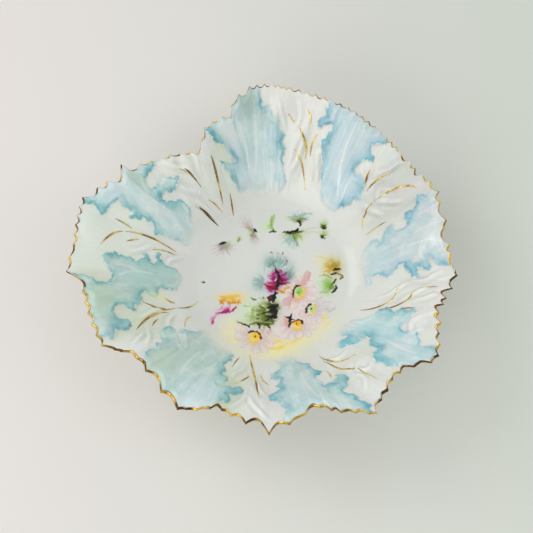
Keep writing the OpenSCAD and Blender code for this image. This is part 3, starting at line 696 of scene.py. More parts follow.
# Brush strokes: colour, strength and softness, then one or more strokes, each a list
# of x, y and width.
BRUSH = [
    (GREY, 0.8, 0.8, [(29.6, -18.6, 0.4), (32, -16, 0.8), (35.6, -15, 0.3)]),
    (GREY, 0.9, 0.8, [(38, -26.4, 0.3), (41.4, -25, 0.9), (44, -21, 0.3)]),
    (GREY, 0.6, 0.8, [(31, -14, 0.2), (34, -17.6, 0.6), (36.4, -17, 0.2)]),
    ((240, 214, 90), 0.6, 1.0, [(35.2, -27, 0.4), (37.2, -28.6, 2), (39.4, -29.4, 0.4)]),
    ((240, 214, 90), 0.8, 1.0, [(34, -32, 0.6), (36, -30.4, 1.6), (36.4, -28, 0.4)]),
    ((238, 218, 130), 0.7, 1.2, [(34, -36, 0.5), (38, -34, 1.6), (40.4, -33, 0.5)]),
    ((236, 206, 70), 0.5, 1.2, [(0.6, -45.4, 0.4), (3.6, -47, 2.2), (7, -47.4, 0.8)]),
    ((232, 200, 80), 0.45, 1.4, [(-3, -51.4, 0.4), (1, -52.8, 1.6), (5.4, -52.4, 2.2),
        (9, -50, 0.6)]),
    ((236, 206, 70), 0.6, 1.0, [(-16.4, -49, 0.5), (-14, -49.6, 1.2), (-12, -50, 0.4)]),
    ((236, 216, 120), 0.6, 1.0, [(-26, -45.8, 0.4), (-24, -46.4, 1.2), (-21, -47, 0.4)]),
    ((232, 200, 90), 0.5, 1.6, [(10, -49, 0.6), (16, -47.4, 1.6), (22, -44, 0.6)]),
    (SALMON, 0.7, 1.0, [(11.4, -22.6, 0.4), (12.4, -21, 1.1), (13.6, -18, 0.3)]),
    (SALMON, 0.6, 1.2, [(9, -30.6, 0.4), (10, -33.6, 1.4), (9.4, -38, 0.4)]),
    (SALMON, 0.5, 1.0, [(20, -25, 0.3), (19, -27.6, 0.9), (20, -30, 0.3)]),
    (SALMON, 0.6, 1.2, [(25.2, 5, 0.4), (26, 1.6, 2.0), (25, -2.4, 0.4)]),
    (ROSE, 0.6, 1.2, [(17.4, 0, 0.4), (17.8, -2.6, 2.0), (17.8, -5, 0.6)]),
    (TEAL, 0.8, 1.2, [(-1.6, 13.6, 0.4), (-0.4, 11, 1.4), (1.6, 8.6, 1.6), (3.2, 5.4, 0.8)]),
    ((96, 128, 120), 0.8, 0.8, [(0, 11.6, 0.3), (1.4, 9, 0.9), (3, 6.6, 0.6)]),
    (TEAL, 0.6, 1.0, [(5.6, 8, 0.4), (5, 5.6, 1), (5.2, 3, 0.4)]),
    (TEAL, 0.7, 1.0, [(15.4, 8.4, 0.3), (13.4, 5.4, 1.1), (13, 2, 0.4)]),
    ((128, 130, 138), 0.7, 1.0, [(12.8, 3, 0.4), (12.6, 0, 1.3), (11.4, -2.4, 0.4)]),
    (TEAL, 0.5, 1.0, [(-4.6, 3.4, 0.3), (-5.4, 6.4, 0.8), (-4.2, 10, 0.3)], [(-12.6, -1, 0.3),
        (-13.6, -5, 0.8), (-11, -10.4, 0.3)]),
    (TEAL, 0.4, 1.0, [(-5, -2, 0.3), (-7.4, -4, 0.9), (-11, -6.4, 0.3)]),
    (MAUVE, 0.8, 1.2, [(-3.2, 1.2, 0.4), (-0.4, 1.6, 1.6), (3, 3.6, 0.8)]),
    (MAUVE, 0.6, 1.6, [(-5.4, -5.4, 0.6), (-1, -4, 2.4), (3, -3, 1)]),
    (MAUVE, 0.7, 1.6, [(-3.4, -9, 0.8), (-0.6, -10.6, 3), (2, -11.6, 1)]),
    (MAGENTA, 0.9, 0.8, [(0.2, 1.2, 0.4), (2, 3.2, 1.4), (3.8, 5.2, 0.9)]),
    (MAGENTA, 0.8, 0.8, [(2.6, 7, 0.3), (3.4, 5, 1.2), (5.4, 3.4, 0.6)]),
    (MAGENTA, 0.85, 0.8, [(5.2, 5.8, 0.3), (6.4, 4.6, 1.1), (7.4, 3.2, 0.3)]),
    (MAGENTA, 0.9, 0.7, [(5.4, 0.2, 0.7), (8, 1.4, 1.2), (11, 3.9, 0.3)], [(5.6, -3.4, 0.9),
        (8.4, -2.8, 1.5), (11.6, -0.8, 0.3)]),
    (MAGENTA, 0.9, 0.8, [(6, -5.6, 0.9), (9, -4.9, 1.4), (12.4, -4.1, 0.4)]),
    (MAUVE, 0.7, 1.0, [(5, 1.6, 0.6), (8, 0, 1.1), (11, 0.8, 0.3)]),
    (MAGENTA, 0.9, 1.0, [(-3, -4.2, 0.4), (0, -4.4, 1.1), (3, -3.4, 1)]),
    (CRIMSON, 0.95, 0.9, [(-4.8, -5.6, 0.6), (-2.4, -7.2, 2.4), (1, -8, 2.8), (3, -7, 1.6)]),
    ((120, 14, 48), 0.9, 0.8, [(-1.4, -7.6, 0.6), (0.6, -8.8, 1.6), (2.6, -8.6, 0.8)]),
    (MAGENTA, 0.8, 1.2, [(-3.6, -8.4, 0.4), (-1.6, -9.6, 1.6), (0.6, -11.4, 0.6)]),
    (MAROON, 0.95, 0.7, [(2.6, 6, 0.5), (3.2, 4, 1.6), (4.6, 1.2, 1.6), (4.4, -2, 1.4),
        (4.2, -5, 2.2), (3, -8, 1.4)]),
    ((44, 10, 24), 0.9, 0.6, [(3.4, 4.8, 0.5), (5, 1, 1.2), (4.6, -2.4, 1.2), (4.4, -5.2, 1.6),
        (3, -8.4, 0.9)]), (MAROON, 0.9, 0.7, [(4.6, 0, 0.7), (6.6, -2, 1), (7.6, -1.6, 0.3)]),
    (MAROON, 0.85, 0.7, [(4.6, -4.6, 1), (7, -5.4, 1.4), (9.4, -4.8, 0.3)]),
    (WHITE, 0.9, 0.6, [(1.6, -2.6, 0.6), (2.8, -1.8, 1.4), (3.2, -0.8, 0.5)]),
    (MAGENTA, 0.75, 0.7, [(-0.8, 18.6, 0.9), (0, 17.6, 0.6)]),
    (MAUVE, 0.8, 0.8, [(4, 18.4, 0.7), (5, 17.2, 0.7)]),
    (MAGENTA, 0.75, 0.7, [(7.6, 18.6, 0.7), (7.6, 17.2, 0.8)]),
    (MAUVE, 0.8, 0.7, [(8.6, 15.4, 0.7), (9.4, 14.2, 0.7)]),
    (MAGENTA, 0.7, 0.7, [(10.4, 12.6, 0.9), (11, 11.2, 0.7)]),
    (INK, 0.95, 0.6, [(2.4, -11, 1), (2.2, -12.8, 1.3), (0.6, -14.2, 1.2)], [(4, -12.4, 0.5),
        (2.8, -12, 1)]),
    ((112, 44, 34), 0.95, 0.7, [(-3.6, -15.2, 0.8), (-1.8, -15.6, 2.8), (-0.4, -15.4, 2)]),
    (INK, 0.95, 0.6, [(0.6, -13.6, 1.2), (1.2, -15.6, 2.6), (0.8, -17.6, 2), (0, -18.8, 0.8)]),
    (INK, 0.9, 0.6, [(-1, -16.8, 1.4), (-2.2, -17.8, 1.2), (-3, -18.6, 0.4)], [(-2.4, -14.4, 0.4),
        (-0.6, -14, 1)]), (AMBER, 0.95, 0.8, [(4.6, -9.4, 1), (5.8, -10.6, 2), (8, -11.2, 2.2)]),
    ((226, 160, 40), 0.95, 0.8, [(7.8, -11, 1.4), (9.2, -9.2, 1.6), (11.8, -7.8, 1.8)]),
    ((200, 130, 30), 0.7, 0.8, [(6.6, -10.8, 0.8), (8.4, -11.6, 1)]),
    (INK, 0.95, 0.7, [(-6.9, -27.2, 0.4), (-4, -26.2, 1.1), (-0.4, -24.8, 1.3), (2.4, -22.8, 1.5),
        (3.6, -20.8, 0.9)], [(-4.6, -29.2, 0.5), (-1.8, -29, 1.4), (0.8, -29.4, 2.2),
        (2.6, -31, 0.9)]), (INK, 0.9, 0.7, [(-3, -31, 0.5), (-1, -30, 1), (0, -31.6, 0.6)]),
    (WHITE, 0.5, 0.7, [(-4, -28, 0.3), (-1.6, -28, 0.7), (0.8, -28, 0.4)]),
    (OLIVE, 0.9, 0.7, [(-10.4, -27.8, 0.9), (-8.6, -28.4, 1)], [(-10.4, -31, 0.9), (-9, -31, 1)]),
    (OLIVE, 0.85, 0.7, [(-24.6, -32.6, 0.4), (-21.6, -34, 0.9), (-18.6, -35.6, 1),
        (-16.2, -36.4, 1.2), (-15, -35, 0.8), (-12, -34, 1.2)]),
    (INK, 0.9, 0.6, [(-21.8, -34, 0.5), (-19, -35.2, 0.9), (-16.4, -36.6, 1)], [(-11, -34, 0.8),
        (-9.4, -34.6, 1.2), (-8.8, -36.6, 0.9), (-8.6, -38.6, 0.4)], [(-5.4, -35.6, 0.8),
        (-3, -36, 1.2), (-1.8, -37.4, 1), (-1.4, -39.4, 0.4)]),
    (OLIVE, 0.9, 0.9, [(-11, -34, 1), (-6, -34.8, 1.6), (-2, -35, 1.6), (1.4, -34, 1)]),
    (OLIVE, 0.85, 0.7, [(-15.4, -14.8, 0.3), (-13.2, -16.2, 1.2), (-11, -17, 0.3)],
        [(-7.2, -14.8, 0.3), (-6, -16, 1), (-4.8, -16.6, 0.3)]),
    (MOSS, 0.6, 0.8, [(-21, -21.4, 0.3), (-18, -21.8, 0.8), (-15, -22, 0.3)]),
    (INK, 0.95, 0.5, [(9.6, -29.4, 0.5), (11.6, -30.6, 2), (12.4, -32, 1.6), (11.4, -35.2, 0.4)],
        [(12, -30.8, 1.8), (13.4, -28.8, 1.2), (14.2, -26.8, 0.3)], [(12, -31, 1.8),
        (14, -31.2, 1), (15.4, -31.4, 0.3)]),
    ((150, 60, 50), 0.8, 0.6, [(8.2, -29.2, 0.4), (9.6, -29.8, 1.2)]),
    (MOSS, 0.7, 1.0, [(33, 0.6, 0.4), (37, 1.6, 1.4), (42, -0.6, 0.8)]),
    (MOSS, 0.6, 1.0, [(33.4, -11.6, 0.4), (37, -11.6, 1.4), (40.6, -10.8, 0.6)]),
    (LEAF_GREEN, 0.7, 1.0, [(40, -3, 0.8), (42.4, -6, 1.6), (41.4, -9.4, 0.8)]),
    (INK, 0.95, 0.6, [(44.6, -1.2, 0.4), (43.6, -3.4, 1.4), (41.8, -5.4, 0.5)], [(45, -5.8, 0.6),
        (45, -7.8, 1.7), (43.8, -10, 1.3), (41.6, -12, 0.5)]),
    (OLIVE, 0.7, 0.8, [(41.6, -5.4, 0.5), (42.8, -7, 1.1), (42.6, -9.6, 0.5)]),
    ((196, 172, 84), 0.8, 1.0, [(38, 10.4, 0.4), (41, 8, 1.2), (43.6, 5.8, 0.6)]),
    ((178, 156, 74), 0.8, 1.0, [(42, 13, 0.4), (43.4, 10, 1.2), (44.4, 6.6, 0.8)]),
    ((190, 166, 84), 0.8, 1.0, [(47.6, 12.4, 0.4), (46.8, 9.4, 1.3), (45.4, 6.4, 0.8)]),
    ((196, 172, 84), 0.8, 0.8, [(36, 4, 0.4), (39.4, 4.6, 1.2), (42.6, 4.6, 0.8)]),
    ((222, 204, 132), 0.8, 0.9, [(30, 16.4, 0.3), (34.6, 15.2, 0.9), (39, 14, 0.4)]),
    (INK, 0.95, 0.6, [(42.8, 4.8, 0.5), (44.4, 5.7, 1.5), (46.6, 5.8, 1.3), (48.6, 5.4, 0.4)],
        [(40.8, 2, 0.4), (43, 2.4, 1.3), (45.2, 3, 0.5)]),
    (AMBER, 0.8, 0.8, [(40, 4.4, 0.8), (41.4, 5.2, 1.3)]),
    (OLIVE, 0.9, 0.7, [(45.6, 2.6, 0.5), (48, 1.8, 1), (49.2, -0.4, 1.3), (47.6, -1.2, 0.7)]),
    ((214, 190, 110), 0.9, 0.7, [(46.4, 0.6, 1.2), (47.6, 0.4, 1.2)]),
    (AMBER, 0.9, 0.8, [(-37, -17.6, 0.7), (-35.4, -18.2, 1.5), (-34, -17, 0.9),
        (-32.6, -17.4, 1.2)], [(-31, -18.4, 0.7), (-29, -19.6, 1.6), (-26.6, -19, 1.2),
        (-24, -19.4, 0.6)]),
    ((226, 184, 88), 0.7, 1.2, [(-37, -14.6, 1.2), (-30, -15, 2.6), (-23, -14, 1.8)]),
    (MAGENTA, 0.85, 0.9, [(-39.4, -27.2, 0.4), (-36, -26.4, 1), (-32.4, -26, 1.7),
        (-29.4, -25.8, 0.8)]), ((196, 40, 110), 0.9, 0.8, [(-33.4, -25.6, 0.8), (-31, -25, 1.4)]),
    (CRIMSON, 0.9, 0.8, [(-29, -25.6, 0.6), (-26.6, -24.2, 1.5), (-24.4, -21.6, 0.4)]),
    (MAUVE, 0.7, 1.0, [(-37, -25, 0.3), (-35, -23, 0.9), (-34, -21, 0.3)], [(-32, -24.6, 0.3),
        (-30.4, -22.8, 0.9), (-29, -20.6, 0.3)]),
    (MAUVE, 0.75, 1.2, [(-37.6, -27.6, 0.6), (-40.6, -30.6, 1.4), (-42, -35.4, 0.6)]),
    (MAGENTA, 0.7, 0.9, [(-40.6, -32, 0.6), (-41.2, -34, 1.2)]),
    ((112, 62, 36), 0.95, 0.5, [(-48.2, -4, 1.1), (-47.6, -4, 1)]),
    (INK, 0.95, 0.6, [(-37, 24.6, 1), (-35, 25.4, 2.3), (-33, 26, 1)], [(-13, 36.4, 1.2),
        (-12, 35.6, 2.1), (-11.2, 34.8, 0.8)]),
    (OLIVE, 0.7, 0.8, [(-15, 31.6, 0.5), (-13.4, 33, 1), (-12.4, 34.2, 0.6)]),
    (OLIVE, 0.5, 0.8, [(-24, 27, 0.4), (-23.2, 28.6, 0.9), (-22.8, 30, 0.3)]),
    (LEAF_GREEN, 0.9, 0.9, [(1.4, 47.6, 1), (0.6, 44, 2.4), (0.2, 40, 1.6), (0.4, 37, 2),
        (1, 35, 2.6)]), (MOSS, 0.8, 0.8, [(-0.4, 47, 0.5), (-0.6, 42, 0.8), (0, 38, 0.5)]),
    (INK, 0.95, 0.6, [(-1.8, 33.4, 0.5), (0.2, 34.6, 1.5), (3, 34.4, 0.5)]),
    (OLIVE, 0.85, 0.7, [(0.6, 36.6, 0.6), (0.4, 35.2, 1.6), (-1, 33.6, 0.7)]),
    (OLIVE, 0.9, 0.8, [(8, 34.4, 0.5), (11.6, 33.4, 1.7), (15.6, 33.8, 2), (19.6, 34.6, 1.4),
        (22, 34.8, 0.4)]),
    (INK, 0.95, 0.6, [(9, 34.4, 0.6), (11.4, 34, 1.6), (13.4, 33.9, 1.3)], [(14.4, 34.6, 1),
        (16, 34.8, 1.9), (18, 36, 1.5), (18.8, 37.6, 0.4)]),
    (OLIVE, 0.7, 0.8, [(15, 32.4, 0.7), (16.6, 28.4, 0.6), (18, 23.8, 0.4)]),
    (MOSS, 0.7, 0.8, [(19, 33, 0.5), (20.6, 30, 0.9), (21.4, 27.4, 0.3)]),
    (TEAL, 0.5, 1.0, [(8, 32, 0.4), (11.4, 26, 0.9), (16, 20.6, 0.4)]),
    ((64, 50, 22), 0.95, 0.7, [(17.2, 43.4, 0.6), (19, 42.4, 1.8), (20.2, 40.6, 1.6),
        (20, 38.8, 0.5)]), (OLIVE, 0.7, 0.8, [(18, 44, 0.6), (21, 44.6, 1.1), (25.6, 44, 0.4)]),
    (TEAL, 0.8, 0.9, [(10, 45, 0.3), (14, 46.2, 1.1), (18.6, 46.2, 1.2), (21.4, 44.6, 0.6)]),
    (TEAL, 0.7, 0.9, [(18.6, 46.4, 0.6), (22, 48, 1.4), (25.4, 48.6, 1.3), (29, 47.4, 0.3)]),
    (MOSS, 0.6, 0.8, [(12, 43.8, 0.3), (16, 44.4, 1), (19.4, 44, 0.5)]),
    (MOSS, 0.35, 0.7, [(22, 34.6, 0.3), (28, 34.4, 0.5), (34.4, 34.2, 0.3)], [(21, 36, 0.3),
        (28, 37.4, 0.5), (34.4, 38.2, 0.3)]),
    (INK, 0.95, 0.6, [(34.8, 37.6, 0.6), (36.6, 37.5, 1.6), (38.6, 37.2, 0.7)]),
    (OLIVE, 0.85, 0.8, [(35, 40.4, 0.4), (36, 39, 1.2), (38.6, 38.8, 0.6)]),
    (OLIVE, 0.9, 0.7, [(34.6, 31.6, 0.5), (35.8, 30.6, 1.9), (37.4, 29.6, 0.8)]),
    (INK, 0.85, 0.6, [(35, 31, 0.5), (36, 30.4, 1.3)]),
]

# Ghost daisies: centre, then the tips their pale petals run to.
GHOSTS = [
    (-33.6, 25, [(-43, 23.4), (-43.6, 19.6), (-42, 17), (-39.4, 14.6), (-36.6, 15.4), (-34.6, 16),
        (-31.6, 17.4), (-29, 15.6), (-27.6, 19.6), (-25, 21.4), (-24.4, 24)]),
    (-13.2, 34, [(-20, 46), (-21.4, 43), (-16.6, 44.6), (-16, 40), (-22, 38.6), (-15.4, 29.4),
        (-15.8, 26), (-13.4, 24.4), (-11, 23.6), (-9, 25), (-8.6, 28), (-14, 42)]),
]

# Flower centres: colours of the disc and of its lit part, centre, half widths,
# then the rim of dark stamens as a line.
# Sprays of fine tapered strokes: colour, strength, centre, inner and outer reach,
# first and last heading, how many, width.
SPRAYS = [
    ((128, 158, 152), 0.8, 4, 4, 3, 13, 40, 150, 26, 0.8),
    ((206, 220, 218), 0.6, 3, 3, 4, 12, 30, 170, 16, 1.0),
    ((140, 168, 164), 0.7, -4, -4, 2, 11, 120, 230, 22, 0.8),
    ((128, 150, 150), 0.7, 9, 0, 1, 8, 0, 90, 14, 0.8),
    (PALE_GREEN, 0.8, -6, -25, 1, 12, 130, 230, 26, 1.2),
    ((120, 132, 70), 0.8, -5, -26, 1, 9, 110, 240, 24, 0.9),
    (MOSS, 0.9, 3, -25, 0, 17, 135, 225, 26, 1.4),
    (OLIVE, 0.9, 3.5, -25, 0, 12, 120, 240, 24, 1.1),
    ((60, 66, 14), 0.9, 3.5, -26, 0, 9, 120, 250, 20, 0.9),
    (INK, 0.95, 3.8, -21, 0, 9, 175, 240, 10, 0.9), (INK, 0.95, 3.6, -30, 0, 7, 115, 185, 8, 0.8),
    ((206, 220, 180), 0.7, 0, -25, 2, 14, 150, 215, 10, 0.7),
    ((50, 56, 10), 0.9, -3, -33, 0, 7, -10, 190, 12, 0.8),
    (MAGENTA, 0.85, 4.5, -2, 1, 7.5, -50, 60, 9, 0.9),
    (MAGENTA, 0.85, 3.5, -3, 1, 8, 130, 250, 12, 0.9),
    ((110, 6, 60), 0.9, 4, -3, 0.5, 5.5, 110, 420, 16, 0.8),
    ((196, 118, 30), 0.8, -35, -19, 0.3, 2.6, 0, 360, 8, 0.8),
    ((196, 118, 30), 0.8, -30, -19.4, 0.3, 2.4, 0, 360, 8, 0.8),
    ((150, 84, 20), 0.8, -26, -19, 0.3, 2.2, 0, 360, 7, 0.7),
    ((206, 140, 40), 0.8, -23, -18.6, 0.3, 2.2, 0, 360, 7, 0.7),
    (MAGENTA, 0.75, 4, 0, 1.5, 7, 150, 390, 16, 0.9),
    (MAUVE, 0.6, 3, -6, 3, 9, 150, 300, 14, 1.0),
    ((120, 10, 60), 0.8, 2, -7, 0.5, 5, 160, 380, 12, 0.9),
    (TEAL, 0.7, 4, 8, 3, 11, 30, 170, 20, 0.8),
    ((120, 146, 138), 0.6, 1, 9, 1, 6, 40, 200, 12, 0.7),
    (TEAL, 0.6, -5, -4, 3, 10, 150, 250, 14, 0.8), (TEAL, 0.6, 12, 1, 1, 6, -60, 80, 10, 0.7),
    (OLIVE, 0.75, -2, -26, 3, 9, 130, 330, 22, 1.0), (INK, 0.85, 3, -26, 0, 4, 100, 260, 8, 0.8),
    (MOSS, 0.7, -10, -27, 3, 10, 120, 250, 18, 0.9), (OLIVE, 0.6, 2, -24, 1, 6, 0, 110, 8, 0.8),
    (MOSS, 0.55, -6, -34, 2, 8, 150, 390, 14, 0.8),
    ((214, 228, 200), 0.7, -14, -24, 1, 8, 90, 260, 14, 1.0),
    ((168, 144, 58), 0.8, 44.6, 6, 1.5, 8, 50, 175, 18, 0.9),
    ((206, 186, 112), 0.7, 42, 9, 2, 8, 60, 200, 16, 0.9),
    (AMBER, 0.6, 41, 4, 0.5, 4, 100, 220, 8, 0.8),
    (LEAF_GREEN, 0.75, 42, -6, 1.5, 9, 120, 250, 18, 1.0),
    ((120, 170, 60), 0.6, 42, -7, 0.5, 5, 110, 250, 10, 0.9),
    (OLIVE, 0.6, 42, -8, 0.5, 3, 130, 240, 6, 0.8), (TEAL, 0.7, 19, 42, 2, 10, 20, 165, 20, 0.9),
    (MOSS, 0.7, 19, 41.5, 1, 6, 10, 170, 14, 0.8),
    ((90, 84, 34), 0.8, 19, 41.5, 0.5, 3, 30, 160, 8, 0.8),
    (TEAL, 0.55, 15, 33, 3, 13, 215, 300, 16, 1.0), (MOSS, 0.7, 17, 34, 1, 8, 220, 330, 16, 0.9),
    (OLIVE, 0.7, 12, 34, 0.5, 3, 200, 330, 10, 0.8),
    (LEAF_GREEN, 0.6, 0, 38, 1, 5, 60, 200, 10, 0.8),
    (LEAF_GREEN, 0.8, 36.6, 38, 0.5, 4, 20, 160, 10, 0.9),
    (OLIVE, 0.7, 36.6, 38, 0.5, 2.4, 20, 160, 6, 0.7),
    (LEAF_GREEN, 0.8, 36.4, 31, 0.5, 4, 20, 160, 10, 0.9),
    (OLIVE, 0.6, 36.2, 31, 0.4, 2.4, 10, 120, 6, 0.7),
    (MAUVE, 0.65, -32, -26, 0.5, 5.5, 35, 150, 14, 0.8),
    (MAGENTA, 0.7, -31, -26, 0.5, 3, 30, 150, 8, 0.8),
    (MAUVE, 0.5, -40.6, -31, 0.5, 3, 90, 260, 8, 0.8),
    ((226, 178, 80), 0.7, -33, -18, 0.5, 5, 30, 150, 12, 0.9),
    ((226, 178, 80), 0.7, -27, -18.6, 0.5, 5, 30, 150, 12, 0.9),
    ((214, 150, 60), 0.6, 18.5, -11.4, 4.5, 7, 0, 360, 22, 0.5),
    (ROSE, 0.6, 18.5, -11.4, 5, 10, 0, 360, 26, 0.6),
    (SALMON, 0.55, 18.5, -11.4, 4, 10, 180, 300, 12, 0.8),
    (ROSE, 0.6, 26.9, -23.8, 4, 9, 0, 360, 22, 0.6),
    (ROSE, 0.6, 17, -34.7, 4.5, 10, 0, 360, 26, 0.6),
    (SALMON, 0.5, 12, -33, 1, 7, 150, 280, 10, 1.0),
    ((232, 206, 120), 0.6, -11.7, -43.9, 4.5, 8, 150, 400, 20, 0.6),
    (ROSE, 0.6, -11.7, -43.9, 5, 11, 0, 360, 28, 0.6),
    (SALMON, 0.4, -4, -42, 1, 7, 0, 80, 6, 0.8), (GREY, 0.5, 36, -24, 1, 8, -40, 60, 10, 0.6),
    ((160, 158, 124), 0.7, -33.6, 25, 2, 8, 180, 330, 16, 0.6),
    ((168, 150, 150), 0.6, -33.6, 25, 3, 10, 190, 350, 12, 0.5),
    ((158, 150, 138), 0.7, -13.2, 34, 2, 9, 240, 310, 12, 0.6),
    ((176, 170, 164), 0.7, -13.6, 36, 3, 13, 100, 160, 14, 0.6),
]

DISCS = [
    ((206, 214, 158), (150, 196, 104), 18.5, -11.4, 2.9, 4.7, [(14.9, -14.8), (14.7, -12),
        (15.4, -9.2), (17, -7), (19.2, -6.4)]),
    ((206, 222, 190), (176, 208, 150), 26.9, -23.8, 2.4, 3.7, [(23.6, -26.4), (23.7, -23.6),
        (25, -21.4), (27.4, -20.2)]),
    ((238, 212, 130), (232, 178, 60), 17, -34.7, 4.2, 2.8, [(11.4, -36.8), (12.8, -34.4),
        (15.4, -32.8), (18.4, -32), (21, -32.8), (21.2, -34.6)]),
    ((240, 214, 130), (238, 190, 60), -11.7, -43.9, 4.3, 3.1, [(-16, -41.2), (-13.4, -40.3),
        (-10.4, -41), (-8.2, -42.8), (-7.2, -45.6)]),
]


def paint_petal(fill, outline, x, y, heading, length, width):
    """A petal from its base at x, y: a pale fill, a thin outline and two veins."""
    a = np.radians(heading)
    along, across = np.array([np.cos(a), np.sin(a)]), np.array([-np.sin(a), np.cos(a)])
    start = np.array([x, y]) + along * 3
    rim, vein = np.asarray(outline) * 0.96, np.asarray(outline) * 0.93

    def at(reach, side):
        """A place on the petal, by shares of its length and half width."""
        p = start + along * reach * (length - 3) + across * side * width / 2
        return [p[0], p[1]]

    stroke(fill, 0.85, 1.0, [at(0.05, 0) + [width * 0.3], at(0.4, 0) + [width * 0.8],
                             at(0.75, 0) + [width], at(0.95, 0) + [width * 0.6]])
    for side in (-1, 1):
        stroke(rim, 0.6, 0.6, [
            at(0.1, side * 0.3) + [0.2], at(0.5, side * 0.85) + [0.5],
            at(0.85, side * 0.9) + [0.5], at(1.02, side * 0.3) + [0.2]])
        stroke(vein, 0.6, 0.5, [
            at(0.05, side * 0.15) + [0.5], at(0.4, side * 0.35) + [0.5],
            at(0.75, side * 0.4) + [0.2]])
    stroke(outline, 0.45, 1.2, [at(0, 0) + [1.2], at(0.3, 0) + [0.6], at(0.5, 0) + [0.2]])


def paint_disc(pale, bright, x, y, rx, ry, stamens):
    """A daisy's centre with its ring of dark stamens and a lit crescent."""
    oval(pale, 0.95, 0.7, x, y, rx, ry)
    oval(bright, 0.9, 1.6, x + 0.2 * rx, y + 0.15 * ry, 0.72 * rx, 0.66 * ry)
    away = -np.array(stamens).mean(0) + (x, y)
    away = away / np.linalg.norm(away)
    side = np.array([-away[1], away[0]])
    arc = [np.array([x, y]) + away * c * (rx + 0.4) + side * s * (ry + 0.4)
           for c, s in ((0.1, -1), (0.75, -0.7), (1, 0), (0.75, 0.7), (0.1, 1))]
    widths = (0.3, 1.2, 1.6, 1.2, 0.3)
    stroke(RING_YELLOW, 0.9, 0.8, [(p[0], p[1], w) for p, w in zip(arc, widths)])
    line = spline(stamens, 6)
    for px, py in line:
        size = 0.35 + 0.3 * rng.rand()
        jx, jy = 0.3 * (rng.rand(2) - 0.5)
        oval(STAMEN, 0.95, 0.5, px + jx, py + jy, size, size)
    oval(INK, 0.95, 0.4, x, y, 0.5, 0.5)
    for _ in range(10):
        jx, jy = (rng.rand(2) - 0.5) * (rx, ry)
        oval(bright, 0.6, 0.4, x + jx, y + jy, 0.3, 0.3)


def paint_spray(colour, strength, x, y, near, far, first, last, count, width):
    """A fan of short tapered strokes, each a little off its even place."""
    for k in range(count):
        a = np.radians(first + (last - first) * (k + rng.rand()) / count)
        a2 = a + 0.25 * (rng.rand() - 0.5)
        reach = near + (far - near) * (0.45 + 0.55 * rng.rand())
        mid = near + (reach - near) * 0.4
        stroke(colour, strength * (0.6 + 0.4 * rng.rand()), 0.5, [
            (x + near * np.cos(a), y + near * np.sin(a), width * 0.7),
            (x + mid * np.cos(a), y + mid * np.sin(a), width),
            (x + reach * np.cos(a2), y + reach * np.sin(a2), 0.1)], 4)


BOUQUET_GAIN = 1.14  # the colours' distance from white, after all the strokes


def paint_bouquet():
    """The flower spray, from its soft ground to the discs on top."""
    for colour, strength, x, y, rx, ry, lean in BOUQUET_WASHES:
        wash(colour, strength, x, y, rx, ry, lean, grain=0.5)
    for row in PETALS:
        paint_petal(*row)
    for row in SPRAYS:
        paint_spray(*row)
    for colour, strength, soft, *lines in BRUSH:
        for points in lines:
            stroke(colour, strength, 0.7 * soft, points)
    for x, y, tips in GHOSTS:
        for tx, ty in tips:
            mx, my = (x + tx) / 2 + rng.rand() - 0.5, (y + ty) / 2 + rng.rand() - 0.5
            shade = GHOST_OLIVE if rng.rand() < 0.5 else GHOST_MAUVE
            stroke(shade, 0.75, 0.8, [(x, y, 0.3), (mx, my, 1.0), (tx, ty, 0.2)])
            stroke(LILAC, 0.5, 1.2, [(mx, my, 1.0), (tx, ty, 2.2)])
    for row in DISCS:
        paint_disc(*row)
    middle = RAD < 58
    paint[middle] = np.clip(WHITE + BOUQUET_GAIN * (paint[middle] - WHITE), 2, 255)


paint_bouquet()
paint = np.clip(paint, 0, 255)

# ------------------------------------------------------------------ the relief

# Domes and hollows in the white panels: angle, radius, half widths across and
# along the radius in mm, height in mm.
LUMPS = [
    (133, 80, 5, 8, 0.9), (138, 92, 6, 6, 1.1), (134, 93, 3, 4, -0.8), (129, 84, 3, 7, -0.7),
    (141, 77, 4, 5, 0.9), (176, 116, 7, 8, 0.5), (168, 112, 4, 7, -0.4), (172, 80, 5, 9, 0.7),
    (216, 104, 6, 7, 0.9), (213, 92, 4, 6, -0.6), (203, 88, 4, 7, 0.7), (208, 70, 6, 6, 0.6),
    (262, 98, 5, 10, 0.9), (258, 84, 4, 8, 0.6), (266, 86, 4, 8, -0.6), (267, 106, 4, 8, 0.8),
    (306, 92, 6, 5, 1.1), (303, 106, 5, 7, 0.9), (309, 108, 5, 7, -0.7), (300, 80, 4, 5, 0.7),
    (333, 106, 5, 6, 1.2), (332, 112, 4, 4, -0.8), (343, 104, 6, 8, 0.9), (346, 92, 5, 7, 0.8),
    (341, 84, 3, 7, -0.5), (351, 84, 5, 7, 0.8), (352, 108, 6, 5, 0.9), (31, 88, 5, 6, 1.1),
    (35, 92, 4, 6, -0.8), (28, 80, 4, 6, 0.9), (26, 92, 4, 7, 0.8), (38, 100, 5, 8, 0.9),
    (45, 92, 5, 5, 1.2), (33, 104, 5, 6, -0.6), (24, 104, 4, 7, 0.7), (77, 98, 5, 9, 0.9),
    (81, 86, 4, 12, 0.8), (74, 86, 3, 10, -0.7), (68, 88, 3, 9, 0.6), (87, 108, 5, 7, 1.0),
    (80, 108, 4, 7, -0.6), (2, 104, 5, 4, 1.2), (2, 104, 2.5, 2, -0.9),
]
